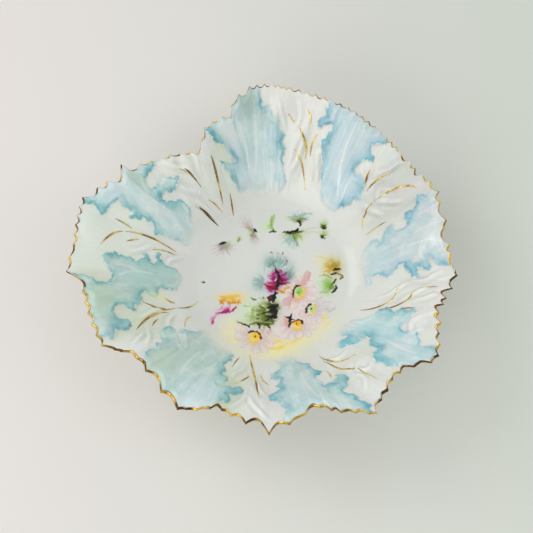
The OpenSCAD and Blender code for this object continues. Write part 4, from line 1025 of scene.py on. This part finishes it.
# Curled ridges in the same panels, as angles and radii.
SCROLLS = [
    [(139, 98), (136, 91), (131, 85)], [(142, 88), (138, 80), (134, 74)],
    [(130, 97), (127, 89), (128, 81)], [(138, 74), (135, 68), (133, 62)],
    [(352, 113), (349, 104), (350, 96)], [(346, 106), (343, 98), (341, 90)],
    [(349, 93), (345, 84), (343, 76)], [(343, 112), (341, 106), (340, 99)],
    [(312, 98), (308, 101), (305, 97), (307, 93)], [(301, 114), (304, 106), (303, 98)],
    [(309, 78), (304, 79), (299, 75)], [(334, 109), (331, 104), (328, 107), (330, 111)],
    [(88, 113), (86, 104), (84, 95)], [(80, 112), (79, 104), (80, 98)],
    [(76, 92), (77, 84), (79, 76)], [(69, 88), (66, 79), (64, 72)],
    [(28, 101), (31, 95), (35, 90), (32, 86), (28, 88)], [(36, 109), (37, 101), (40, 94)],
    [(46, 95), (43, 92), (43, 88)], [(25, 84), (30, 80), (36, 78)],
    [(24, 97), (27, 91), (31, 87)], [(177, 97), (174, 90), (170, 84)],
    [(176, 73), (172, 70), (168, 63)], [(217, 113), (214, 104), (212, 98)],
    [(219, 105), (215, 99), (210, 95)], [(206, 97), (204, 88), (202, 80)],
    [(215, 85), (209, 80), (206, 74)], [(269, 118), (264, 108), (261, 100)],
    [(256, 112), (259, 104), (260, 96)], [(267, 97), (264, 88), (262, 80)],
    [(251, 84), (254, 77), (256, 70)],
]
SCROLL_HEIGHT = 1.0
LUMP_GAIN = 2.1
VEIN_DEPTH = 0.5


def raise_leaf(number):
    """The leaf stands proud of the wall, with a rolled edge and sunken veins."""
    where, inside = leaf_field(number)
    depth = np.clip(inside, 0, None)
    step = smooth(inside, -0.7, 1.2) * 0.9 + 0.45 * bell(inside - 1.6, 1.3) * (inside > -2)
    middle = LEAVES[(number + 1) % len(LEAVES)]
    across = np.radians(turn(ANG[where] - middle)) * RAD[where]
    vein = bell(across - 2.5 * np.sin(RAD[where] / 14), 1.3)
    ribs = np.sin((RAD[where] - 1.1 * np.abs(across)) / 3.4 + number)
    belly = 0.5 * smooth(depth, 2, 14)
    carve = -VEIN_DEPTH * vein + 0.22 * ribs * smooth(np.abs(across), 2, 8)
    body = smooth(depth, 1, 4)
    relief[where] += (step + body * (belly + carve)) * leaf_fade(where)


for leaf_number in LEAF_LINES:
    raise_leaf(leaf_number)
for angle, radius, across, along, height in LUMPS:
    spot = window(np.array([polar(angle, radius)]), 2.5 * max(across, along))
    relief[spot] += LUMP_GAIN * height * near_leaf(spot, angle, radius, across, along)
for ridge in SCROLLS:
    track = spline([polar(a, r) for a, r in ridge], 8)
    spot = window(track, 5)
    gap, run = measure(track, spot)
    taper = np.sin(np.pi * np.clip(run / (len(track) - 1), 0.03, 0.97)) ** 0.6
    relief[spot] += SCROLL_HEIGHT * taper * (bell(gap, 1.3) - 0.5 * bell(gap - 2.4, 1.1))
relief += (
    0.9 * (cloud(ANG / 6, RAD / 34, 61) - 0.5) + 0.5 * streak + 0.35 * wobble
) * smooth(RAD, 56, 84)
relief *= smooth(RAD, 54, 66)


def sample(field, x, y):
    """A field of the painting at points x, y, with soft steps between its cells."""
    u = np.clip((x + HALF) / CELL - 0.5, 0, COUNT - 1.001)
    v = np.clip((y + HALF) / CELL - 0.5, 0, COUNT - 1.001)
    i, j = u.astype(int), v.astype(int)
    fu, fv = u - i, v - j
    if field.ndim == 3:
        fu, fv = fu[..., None], fv[..., None]
    return (
        field[j, i] * (1 - fu) * (1 - fv) + field[j, i + 1] * fu * (1 - fv)
        + field[j + 1, i] * (1 - fu) * fv + field[j + 1, i + 1] * fu * fv
    )


def ragged(field):
    """The painting with its smooth outlines broken up by two scales of noise."""
    wide = 1.3 + 1.9 * smooth(RAD, 48, 70)
    u, v = X / 2.6, Y / 2.6
    dx = wide * (cloud(u, v, 201) - 0.5) + 1.2 * (cloud(3 * u, 3 * v, 205, 2) - 0.5)
    dy = wide * (cloud(u, v, 209) - 0.5) + 1.2 * (cloud(3 * u, 3 * v, 213, 2) - 0.5)
    return sample(field, X + dx, Y + dy)


def surroundings(field, reach):
    """The mean of a field over a ring of places around each cell."""
    total = 0
    for k in range(12):
        a = 2 * np.pi * k / 12
        step = np.round(reach * np.array([np.sin(a), np.cos(a)]) / CELL).astype(int)
        total = total + np.roll(field, step, (0, 1))
    return total / 12


LUSTRE = 0.03  # how far the glaze's tint drifts over the wall

# Fired dark strokes beside two of the gold ones: colour, strength, softness, points.
LINING = [
    ((56, 38, 20), 0.9, 0.35, [(-60.6, 63.4, 0.2), (-56, 61.4, 1.1), (-49.6, 56.8, 0.2)]),
    ((34, 24, 14), 0.95, 0.35, [(-50.8, 46.8, 0.3), (-45.4, 44.0, 1.8), (-38, 38.8, 0.3)]),
]
paint = ragged(paint)
# Painted shade in the relief's hollows and painted highlight on its ridges.
relief_painted_shade = relief - 0.5 * (surroundings(relief, 1.5) + surroundings(relief, 3.2))
# Painted light on the left of the bowl and painted shade on its right, as of light from the left.
sides = 0.03 * smooth(-X, 40, 100) - 0.035 * smooth(X, 40, 100)
paint *= (1 + np.clip(0.045 * relief_painted_shade, -0.04, 0.03) + sides)[..., None]
for channel, seed in enumerate((231, 237, 243)):
    drift = cloud(X / 9, Y / 9, seed) - 0.5
    paint[..., channel] *= 1 + LUSTRE * drift * smooth(RAD, 58, 75)
for row in LINING:
    stroke(*row)
paint_highlights()


def lift_at(angle, share):
    """Relief above the smooth wall, which dies away just below the rim."""
    r, _, _ = wall_frame(angle, share)
    x, y = polar(angle, r)
    return sample(relief, x, y) * smooth(share, 0.995, 0.93)


# ------------------------------------------------------------------ the meshes


def sheet(rings):
    """Quads and triangles over rings of points, from the middle outward and back.
    A ring may have the same number of points as the last, or twice, or half, or one."""
    counts = [len(r) for r in rings]
    starts = np.concatenate([[0], np.cumsum(counts)])
    faces = []
    for p, q, n, m in zip(starts, starts[1:], counts, counts[1:]):
        i = np.arange(max(n, m) if 1 in (n, m) else min(n, m))
        k = (i + 1) % len(i)
        if n == 1:
            faces.append(np.stack([p + 0 * i, q + i, q + k, q + k], -1))
        elif m == 1:
            faces.append(np.stack([p + i, q + 0 * i, p + k, p + k], -1))
        elif n == m:
            faces.append(np.stack([p + i, q + i, q + k, p + k], -1))
        elif m == 2 * n:
            h, e = q + 2 * i, q + (2 * i + 2) % m
            faces.append(np.stack([p + i, h, h + 1, h + 1], -1))
            faces.append(np.stack([p + i, h + 1, e, p + k], -1))
        else:
            h, e = p + 2 * i, p + (2 * i + 2) % n
            faces.append(np.stack([h, q + i, h + 1, h + 1], -1))
            faces.append(np.stack([h + 1, q + i, q + k, e], -1))
    return np.concatenate(rings), np.concatenate(faces)


def closed_tube(rings):
    """A sheet whose last ring is joined to its first."""
    points, faces = sheet(rings)
    n = len(rings[0])
    last = len(points) - n
    i = np.arange(n)
    k = (i + 1) % n
    return points, np.concatenate([faces, np.stack([last + i, i, k, last + k], -1)])


def make_mesh(name, points, faces, materials, colours=None):
    """An object from points in mm and faces whose repeated last corner means a triangle."""
    mesh = bpy.data.meshes.new(name)
    mesh.vertices.add(len(points))
    mesh.vertices.foreach_set("co", (points * MM).astype(np.float32).ravel())
    three = faces[:, 2] == faces[:, 3]
    sizes = np.where(three, 3, 4)
    keep = np.ones(faces.shape, bool)
    keep[three, 3] = False
    loops = faces[keep]
    mesh.loops.add(len(loops))
    mesh.loops.foreach_set("vertex_index", loops.astype(np.int32))
    mesh.polygons.add(len(faces))
    begin = np.concatenate([[0], np.cumsum(sizes)[:-1]])
    mesh.polygons.foreach_set("loop_start", begin.astype(np.int32))
    mesh.update(calc_edges=True)
    mesh.shade_smooth()
    for material in materials:
        mesh.materials.append(material)
    if colours is not None:
        layer = mesh.color_attributes.new("Enamel", "FLOAT_COLOR", "POINT")
        values = np.ones((len(points), 4), np.float32)
        values[:, :3] = colours
        layer.data.foreach_set("color", values.ravel())
    obj = bpy.data.objects.new(name, mesh)
    bpy.context.scene.collection.objects.link(obj)
    return obj


def to_linear(colour):
    """An sRGB colour of 0 to 255 as linear light."""
    c = np.asarray(colour, float) / 255
    return np.where(c <= 0.04045, c / 12.92, ((c + 0.055) / 1.055) ** 2.4)


LAMP_GAIN = 0.82  # what a matt surface of reflectance 1 shows under these lamps
# how much darker the well is painted: painted shade
WELL_PAINTED_SHADE = 0.1
COLUMNS = 1440
WALL_RINGS = 165
BACK_RINGS = 36
WELL_STEP = 0.45
UNDER_RADII = (46, 40, 30, 18, 8)  # each with half the columns of the last
BACK_GREEN = (204, 212, 194)


def columns(n):
    """The angles of n even columns."""
    return np.arange(n) * 360.0 / n


def edge_share(angle):
    """The share of the wall at which the rounded edge begins."""
    return 1 - EDGE_BULGE * 0.8 / (saw_rim(angle) - WELL_R)


def section(angle, phi, grow):
    """The rounded edge of the shell: phi runs from 90 on the inside to -90 on the
    outside, and grow puts the point that much proud of the glaze."""
    r, z, f = wall_frame(angle, edge_share(angle))
    half = LIP_T / 2
    up, out = (half + grow) * np.sin(phi), (EDGE_BULGE + grow) * np.cos(phi)
    r = r + half * np.sin(f) - up * np.sin(f) + out * np.cos(f)
    z = z - half * np.cos(f) + up * np.cos(f) + out * np.sin(f)
    return place(angle, r, z)


def shell_thickness(share):
    """Thinner up the wall, and drawn to a finer lip just under the edge."""
    wall = FLOOR_T + (RIM_T - FLOOR_T) * np.clip(share, 0, 1)
    return wall + (LIP_T - wall) * smooth(share, 1 - LIP_RUN, 0.995)


def outer_point(angle, share, grow=0.0):
    """The back of the shell, which follows the front's relief only faintly."""
    back = 0.3 * lift_at(angle, share) - shell_thickness(share) - grow
    return skin(angle, share, back)


def build_shell():
    """The shell from the well up the wall, over the edge and down the back."""
    rings = [np.array([[0, 0, FLOOR_Z]])]
    for r in np.arange(WELL_STEP * 2, WELL_R - WELL_STEP / 2, WELL_STEP):
        n = COLUMNS // 4 if r < 10 else COLUMNS // 2 if r < 24 else COLUMNS
        a = columns(n)
        rings.append(place(a, np.full(n, r), np.full(n, FLOOR_Z)))
    a = columns(COLUMNS)
    end = edge_share(a)
    for k in range(WALL_RINGS + 1):
        share = end * k / WALL_RINGS
        rings.append(skin(a, share, lift_at(a, share)))
    inner = len(rings)
    for phi in np.radians(np.linspace(90, -90, 11)[1:-1]):
        rings.append(section(a, phi, 0.0))
    for k in range(BACK_RINGS + 1):
        rings.append(outer_point(a, end * (1 - k / BACK_RINGS)))
    under = FLOOR_Z - FLOOR_T
    for halvings, r in enumerate(UNDER_RADII):
        n = COLUMNS // 2**halvings
        rings.append(place(columns(n), np.full(n, float(r)), np.full(n, under)))
    rings.append(np.array([[0, 0, under]]))
    points, faces = sheet(rings)
    front = sum(len(r) for r in rings[:inner])
    colours = np.empty((len(points), 3))
    colours[:] = to_linear(WHITE) / LAMP_GAIN
    colours[:front] = to_linear(sample(paint, points[:front, 0], points[:front, 1])) / LAMP_GAIN
    # The open well catches more light than the walls, so it is painted a little darker: painted
    # shade.
    radius = np.hypot(points[:front, 0], points[:front, 1])
    colours[:front] *= (1 - WELL_PAINTED_SHADE * smooth(radius, 78, 44))[:, None]
    # The back is bare white glaze with a breath of green sprayed along the rim.
    back = points[front:]
    depth = smooth(back[:, 2], 40, 74)
    tint = cloud(np.degrees(np.arctan2(back[:, 1], back[:, 0])) / 14 + 40, back[:, 2] / 30, 71)
    green = (depth * smooth(tint, 0.45, 0.8))[:, None] * 0.6
    breath = to_linear(BACK_GREEN) / LAMP_GAIN
    colours[front:] = colours[front:] * (1 - green) + breath * green
    return points, faces, np.clip(colours, 0, 0.95)


FOOT_PROFILE = [
    (-3.4, 4.9), (-3.1, 4.3), (-2.6, 3.4), (-2.1, 2.2), (-1.8, 1.1), (-1.62, 0.5), (-1.3, 0.14),
    (-0.9, 0.0), (0.9, 0.0), (1.3, 0.14), (1.62, 0.5), (1.8, 1.1), (2.1, 2.2), (2.6, 3.4),
    (3.1, 4.3), (3.4, 4.9),
]


def build_foot():
    """The ring is thrown a little unevenly, and its corners are wiped round."""
    a = columns(360)
    profile = spline([(r, z) for r, z in FOOT_PROFILE], 3)
    waver = 0.12 * (cloud(a / 22, a * 0, 81) - 0.5)
    rings = []
    for r, z in profile:
        rings.append(place(a, FOOT_R + r + waver, np.full(len(a), max(z, 0.0))))
    points, faces = closed_tube(rings)
    return points, faces[:, ::-1]


GOLD_LIFT = 0.07
GOLD_SUNK = -0.12


def build_gold_band():
    """A thin closed skin of gold over the edge, brushed on with an uneven margin."""
    a = columns(COLUMNS)
    end = edge_share(a)
    span = saw_rim(a) - WELL_R
    far = 0.5 + 0.5 * np.sin(np.radians(a))
    first = np.radians(88 - (30 + 75 * far) * smooth(cloud(a / 2.3, a * 0, 91), 0.25, 0.8))
    last = np.radians(-86)
    behind = 0.3 + 0.6 * cloud(a / 5.3, a * 0 + 9, 92)
    near = smooth(1 - far, 0.35, 0.75)
    margin = near * 1.1 * cloud(a / 3.1, a * 0 + 5, 93) ** 2.2

    def layer(grow):
        """The rings of one face of the gold, that far proud of the glaze."""
        share = end - margin / span
        rows = [skin(a, share, lift_at(a, share) + grow)]
        for k in range(12):
            rows.append(section(a, first + (last - first) * k / 11, grow))
        for k in (0, 0.5, 1):
            rows.append(outer_point(a, end - behind * k / span, grow))
        return rows

    proud, sunk = layer(GOLD_LIFT), layer(GOLD_SUNK)
    return closed_tube(proud + sunk[::-1])


# Gold strokes: angle and radius at the start, middle and end, then the width.
SPRIGS = {
    1: [(135.8, 91, 132.6, 83.7, 131.3, 76, 0.8), (139.2, 71.3, 136.1, 63.7, 134.3, 55, 0.6),
        (119.5, 85.8, 120.4, 77.2, 123.9, 62.2, 1.9), (130.8, 68.7, 128.2, 64, 126.5, 58.4, 1.1),
        (116.7, 66.2, 118.3, 60, 120.5, 54, 1.3)],
    2: [(178.3, 115, 173, 109, 169.9, 102.6, 1.5), (169.5, 101.5, 166.5, 86.4, 167.1, 68.8, 1.7),
        (167.1, 98, 166.6, 102.6, 166.6, 109.7, 1.1), (169.9, 92.5, 171.4, 96, 173.3, 99.8, 1.2),
        (168.8, 68.3, 169.9, 76.9, 172, 84, 1.3)],
    3: [(199.6, 54.5, 202.7, 62, 202.5, 71, 1.2), (202.5, 72, 202.6, 82.4, 198.7, 92, 1.9),
        (204.7, 77.5, 206, 90.4, 210.8, 103.5, 1.8), (207.6, 86, 208.5, 89, 210.2, 92, 1.1),
        (199.3, 70.5, 198.1, 74.2, 195.7, 76.7, 1.3), (209.7, 64, 210.7, 68.8, 214.9, 72.5, 1.3)],
    4: [(255.2, 60.5, 261.1, 78.2, 265.1, 100.9, 1.7), (259, 81.5, 257.4, 86, 254.2, 90.8, 1.4),
        (250.4, 64.8, 249.5, 69.6, 249.4, 76.4, 1.0), (263.6, 76, 265.6, 80.8, 268.5, 85, 1.2)],
    5: [(297.6, 69, 302, 81.4, 310.1, 85.9, 1.8), (297.3, 74.2, 300.7, 87.5, 304.7, 96.5, 1.5),
        (305, 97.5, 305.9, 103.7, 306.6, 111.5, 1.1), (295, 83.6, 295.4, 88.2, 294.6, 92, 1.3)],
    6: [(335.4, 66.3, 339.2, 80.3, 346.5, 88.4, 1.3), (336.2, 78, 338.8, 91, 344.4, 100.8, 1.3),
        (344.7, 101.6, 345.6, 107, 345.5, 111.5, 0.9), (336.4, 93, 337, 97, 336.8, 101.5, 1.0)],
    7: [(43.4, 94.6, 42.4, 90, 41, 85.2, 1.3), (35.8, 100.3, 38.3, 92.3, 38.9, 84.3, 1.4),
        (24.4, 108.5, 29.1, 99.8, 32.4, 84.3, 1.5), (32.6, 83.3, 31.6, 77, 26.5, 70.8, 1.5),
        (21.4, 84.4, 22.1, 77, 22, 70.8, 0.9)],
    8: [(77, 109.4, 75.1, 105, 74.9, 100.5, 1.2), (78.8, 99.1, 75, 91, 73.8, 83, 2.0),
        (70.7, 97, 72, 91.6, 71.6, 85, 1.5), (79.5, 87.7, 74.7, 79.8, 69.5, 67.2, 1.2),
        (84, 105.4, 82.4, 103, 81, 101, 0.9)],
}


def on_wall(x, y, above):
    """A point of the relief's surface under plan place x, y, and above it."""
    angle, r = np.degrees(np.arctan2(y, x)), np.hypot(x, y)
    share = (r - WELL_R) / (wall_rim(angle) - WELL_R)
    return skin(angle, share, lift_at(angle, np.clip(share, 0, 1)) + above)


# A raised stroke's section: the share of its half width, and the height in mm.
STROKE_SECTION = [
    (-1, GOLD_SUNK), (-0.85, 0.12), (-0.45, 0.27), (0, 0.32), (0.45, 0.27), (0.85, 0.12),
    (1, GOLD_SUNK),
]


def build_stroke(a0, r0, a1, r1, a2, r2, width):
    """One raised brush stroke: a half-round ridge that swells and tapers to points."""
    u = np.linspace(0, 1, 33)
    x0, x1, x2 = (np.array(polar(a, r)) for a, r in ((a0, r0), (a1, r1), (a2, r2)))
    bend = 2 * x1 - (x0 + x2) / 2
    line = (
        np.outer((1 - u) ** 2, x0) + np.outer(2 * u * (1 - u), bend) + np.outer(u * u, x2)
    )
    run = np.gradient(line, axis=0)
    run /= np.linalg.norm(run, axis=1)[:, None]
    side = np.stack([run[:, 1], -run[:, 0]], -1)
    half = width / 2 * (0.1 + 0.9 * np.sin(np.pi * (0.04 + 0.92 * u)) ** 0.9)
    rings = []
    for across, above in STROKE_SECTION:
        p = line + side * (across * half)[:, None]
        rings.append(on_wall(p[:, 0], p[:, 1], above * (0.35 + 0.65 * half / half.max())))
    points = np.stack(rings, 1)
    n, m = points.shape[:2]
    faces = []
    for k in range(n - 1):
        for j in range(m):
            b = (j + 1) % m
            faces.append((k * m + j, k * m + b, k * m + m + b, k * m + m + j))
    tail = (n - 1) * m
    for j in range(1, m - 1):
        faces.append((0, j + 1, j, j))
        faces.append((tail, tail + j, tail + j + 1, tail + j + 1))
    return points.reshape(-1, 3), np.array(faces)


# --------------------------------------------------------------- the materials


def node_material(name):
    """A new material with its node tree and its shader."""
    material = bpy.data.materials.new(name)
    material.use_nodes = True
    tree = material.node_tree
    return material, tree, tree.nodes["Principled BSDF"]


def add(tree, kind, **settings):
    """A new node, with values for its sockets or its own settings."""
    node = tree.nodes.new(kind)
    for key, value in settings.items():
        if key in node.inputs:
            node.inputs[key].default_value = value
        else:
            setattr(node, key, value)
    return node


def noise(tree, scale, detail=3.0, rough=0.5):
    """Noise in the piece's own space, with scale cells to the metre."""
    coordinates = add(tree, "ShaderNodeTexCoord")
    node = add(tree, "ShaderNodeTexNoise", Scale=scale, Detail=detail, Roughness=rough)
    tree.links.new(coordinates.outputs["Object"], node.inputs["Vector"])
    return node.outputs["Fac"]


def spread(tree, value, lo, hi, low=0.3, high=0.7):
    """A value mapped from low..high to lo..hi, and held there."""
    node = add(tree, "ShaderNodeMapRange")
    for key, number in (("From Min", low), ("From Max", high), ("To Min", lo), ("To Max", hi)):
        node.inputs[key].default_value = number
    tree.links.new(value, node.inputs["Value"])
    return node.outputs["Result"]


def blend_colour(tree, factor, first, second, how="MIX"):
    """Two colours mixed by a factor. Each of the three is a socket or a value."""
    node = add(tree, "ShaderNodeMix", data_type="RGBA", blend_type=how)
    node.inputs["Factor"].default_value = 1.0
    for index, value in ((0, factor), (6, first), (7, second)):
        socket = node.inputs[index]
        if isinstance(value, bpy.types.NodeSocket):
            tree.links.new(value, socket)
        else:
            socket.default_value = value
    return node.outputs[2]


def bumps(tree, shader, height, strength, distance):
    """Fine relief from a height field."""
    node = add(tree, "ShaderNodeBump", Strength=strength, Distance=distance)
    tree.links.new(height, node.inputs["Height"])
    tree.links.new(node.outputs["Normal"], shader.inputs["Normal"])


def rgba(colour, gain=1.0):
    """An sRGB colour of 0 to 255 as a socket's linear value."""
    return (*[float(c) * gain for c in to_linear(colour)], 1.0)


def porcelain_material():
    """Hard white glaze over the enamel: faint clouding, brush dust and orange peel."""
    material, tree, shader = node_material("painted_porcelain")
    enamel = add(tree, "ShaderNodeVertexColor", layer_name="Enamel")
    clouds = spread(tree, noise(tree, 60, 4), 0.0, 1.0)
    shaded = blend_colour(tree, clouds, (0.975, 0.98, 0.972, 1), (1, 1, 1, 1))
    colour = blend_colour(tree, 1.0, enamel.outputs["Color"], shaded, "MULTIPLY")
    tree.links.new(colour, shader.inputs["Base Color"])
    tree.links.new(spread(tree, noise(tree, 140, 3), 0.09, 0.17), shader.inputs["Roughness"])
    bumps(tree, shader, noise(tree, 420, 2), 0.12, 0.0004)
    shader.inputs["IOR"].default_value = 1.5
    shader.inputs["Specular IOR Level"].default_value = 0.3
    return material


def foot_material():
    """Glazed sides that end in the bare, slightly soiled biscuit it stands on."""
    material, tree, shader = node_material("foot_porcelain")
    geometry = add(tree, "ShaderNodeNewGeometry")
    split = add(tree, "ShaderNodeSeparateXYZ")
    tree.links.new(geometry.outputs["Position"], split.inputs["Vector"])
    glazed = spread(tree, split.outputs["Z"], 0.0, 1.0, 0.0004, 0.0012)
    grain = spread(tree, noise(tree, 900, 4), 0.0, 1.0)
    biscuit = blend_colour(tree, grain, rgba((206, 198, 184)), rgba((228, 223, 212)))
    clouds = spread(tree, noise(tree, 70, 3), 0, 1)
    glaze = blend_colour(tree, clouds, rgba((222, 222, 215)), rgba((230, 231, 226)))
    tree.links.new(blend_colour(tree, glazed, biscuit, glaze), shader.inputs["Base Color"])
    tree.links.new(spread(tree, glazed, 0.75, 0.14, 0, 1), shader.inputs["Roughness"])
    bumps(tree, shader, noise(tree, 1500, 3), 0.2, 0.0002)
    return material


def gold_material(name, bright, deep, worn):
    """Burnished gold over glaze: cloudy tone, brush streaks and thin rubbed spots."""
    material, tree, shader = node_material(name)
    tone = blend_colour(
        tree, spread(tree, noise(tree, 85, 4), 0, 1, 0.42, 0.58), rgba(deep), rgba(bright)
    )
    rub = spread(tree, noise(tree, 260, 5, 0.65), 0, 1, 0.6, 0.72)
    tree.links.new(blend_colour(tree, rub, tone, rgba(worn)), shader.inputs["Base Color"])
    tree.links.new(spread(tree, noise(tree, 380, 3), 0.2, 0.42), shader.inputs["Roughness"])
    bumps(tree, shader, noise(tree, 700, 3), 0.3, 0.0002)
    shader.inputs["Metallic"].default_value = 1.0
    return material


# Painted light and shade on the floor: lighter on the left, darker on the right.
FLOOR_LIT_LEFT = rgba((228, 223, 220), 1.06)
FLOOR_SHADED_RIGHT = rgba((205, 211, 202), 1.13)


def floor_material():
    """Plain pale paper with a fine tooth, painted lighter and warmer on the left and darker and
    cooler on the right: painted light and shade.
    """
    material, tree, shader = node_material("pale_floor")
    geometry = add(tree, "ShaderNodeNewGeometry")
    split = add(tree, "ShaderNodeSeparateXYZ")
    tree.links.new(geometry.outputs["Position"], split.inputs["Vector"])
    across = spread(tree, split.outputs["X"], 0.0, 1.0, -0.2, 0.24)
    tree.links.new(blend_colour(tree, across, FLOOR_LIT_LEFT, FLOOR_SHADED_RIGHT), shader.inputs["Base Color"])
    bumps(tree, shader, noise(tree, 900, 3), 0.05, 0.0003)
    shader.inputs["Roughness"].default_value = 0.9
    shader.inputs["Specular IOR Level"].default_value = 0.1
    return material


# ------------------------------------------------------------------ the pieces

glaze = porcelain_material()
gold = gold_material("rim_gold", (240, 202, 104), (112, 74, 30), (176, 150, 108))
pale_gold = gold_material("sprig_gold", (252, 222, 140), (176, 132, 62), (222, 206, 160))

shell_points, shell_faces, shell_colours = build_shell()
shell = make_mesh("painted_shell", shell_points, shell_faces, [glaze], shell_colours)
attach(shell, "root")
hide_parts("bowl_body")

foot_points, foot_faces = build_foot()
foot = make_mesh("turned_foot", foot_points, foot_faces, [foot_material()])
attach(foot, "root")
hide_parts("foot_ring")

band_points, band_faces = build_gold_band()
band = make_mesh("rim_gilding", band_points, band_faces, [gold])
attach(band, "root")
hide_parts("gilt_rim")

for number, strokes in SPRIGS.items():
    parts, faces, count = [], [], 0
    for row in strokes:
        p, f = build_stroke(*row)
        parts.append(p)
        faces.append(f + count)
        count += len(p)
    points = np.concatenate(parts)
    sprig = make_mesh(f"sprig_gilding_{number}", points, np.concatenate(faces), [pale_gold])
    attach(sprig, "root")
    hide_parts(f"gilt_sprig_{number}")

# ------------------------------------------------------ floor, lamps and camera

FLOOR_REACH = 4.0

floor_mesh = bpy.data.meshes.new("studio_floor")
corners = [(x * FLOOR_REACH, y * FLOOR_REACH, 0) for x, y in ((-1, -1), (1, -1), (1, 1), (-1, 1))]
floor_mesh.from_pydata(corners, [], [(0, 1, 2, 3)])
floor_mesh.materials.append(floor_material())
floor = bpy.data.objects.new("studio_floor", floor_mesh)
bpy.context.scene.collection.objects.link(floor)


def soft_lamp(name, location, size, power, colour):
    """A round lamp that faces the bowl."""
    lamp = bpy.data.lights.new(name, "AREA")
    lamp.shape, lamp.size, lamp.energy, lamp.color = "DISK", size, power, colour
    obj = bpy.data.objects.new(name, lamp)
    bpy.context.scene.collection.objects.link(obj)
    obj.location = location
    obj.rotation_euler = (-Vector(location)).to_track_quat("-Z", "Y").to_euler()


soft_lamp("window_light", (-1.5, 0.7, 1.5), 1.3, 9.8, (1.0, 0.99, 0.97))
soft_lamp("ceiling_light", (0.3, 0.2, 2.2), 1.8, 2, (0.97, 0.99, 1.0))
soft_lamp("front_light", (-0.8, -1.4, 1.0), 1.4, 11, (1.0, 0.99, 0.98))
soft_lamp("side_light", (1.3, -0.3, 1.3), 1.2, 2.5, (0.98, 1.0, 0.99))


def studio_world():
    """A pale room, darker low down on the side the camera stands."""
    world = bpy.data.worlds.new("studio_world")
    world.use_nodes = True
    tree = world.node_tree
    back = tree.nodes["Background"]
    where = add(tree, "ShaderNodeTexCoord")
    split = add(tree, "ShaderNodeSeparateXYZ")
    tree.links.new(where.outputs["Generated"], split.inputs["Vector"])
    tilt = add(tree, "ShaderNodeMath", operation="MULTIPLY_ADD")
    tree.links.new(split.outputs["Y"], tilt.inputs[0])
    tilt.inputs[1].default_value = 0.9
    tree.links.new(split.outputs["Z"], tilt.inputs[2])
    level = spread(tree, tilt.outputs["Value"], 0.0, 1.0, -0.4, 0.25)
    tree.links.new(
        blend_colour(tree, level, (0.3, 0.29, 0.27, 1), (0.97, 0.98, 0.98, 1)), back.inputs["Color"]
    )
    back.inputs["Strength"].default_value = 0.66
    bpy.context.scene.world = world


studio_world()

LENS = 86.84
CAMERA_PLACE = (-3.85, -330.3, 846.2)
CAMERA_TILT = 22  # degrees from straight down

camera_data = bpy.data.cameras.new("camera")
camera_data.lens = LENS
camera_data.sensor_width = 36.0
camera = bpy.data.objects.new("camera", camera_data)
camera.location = [c * MM for c in CAMERA_PLACE]
camera.rotation_euler = (np.radians(CAMERA_TILT), 0, 0)
bpy.context.scene.collection.objects.link(camera)
bpy.context.scene.camera = camera
bpy.context.scene.view_settings.view_transform = "Standard"
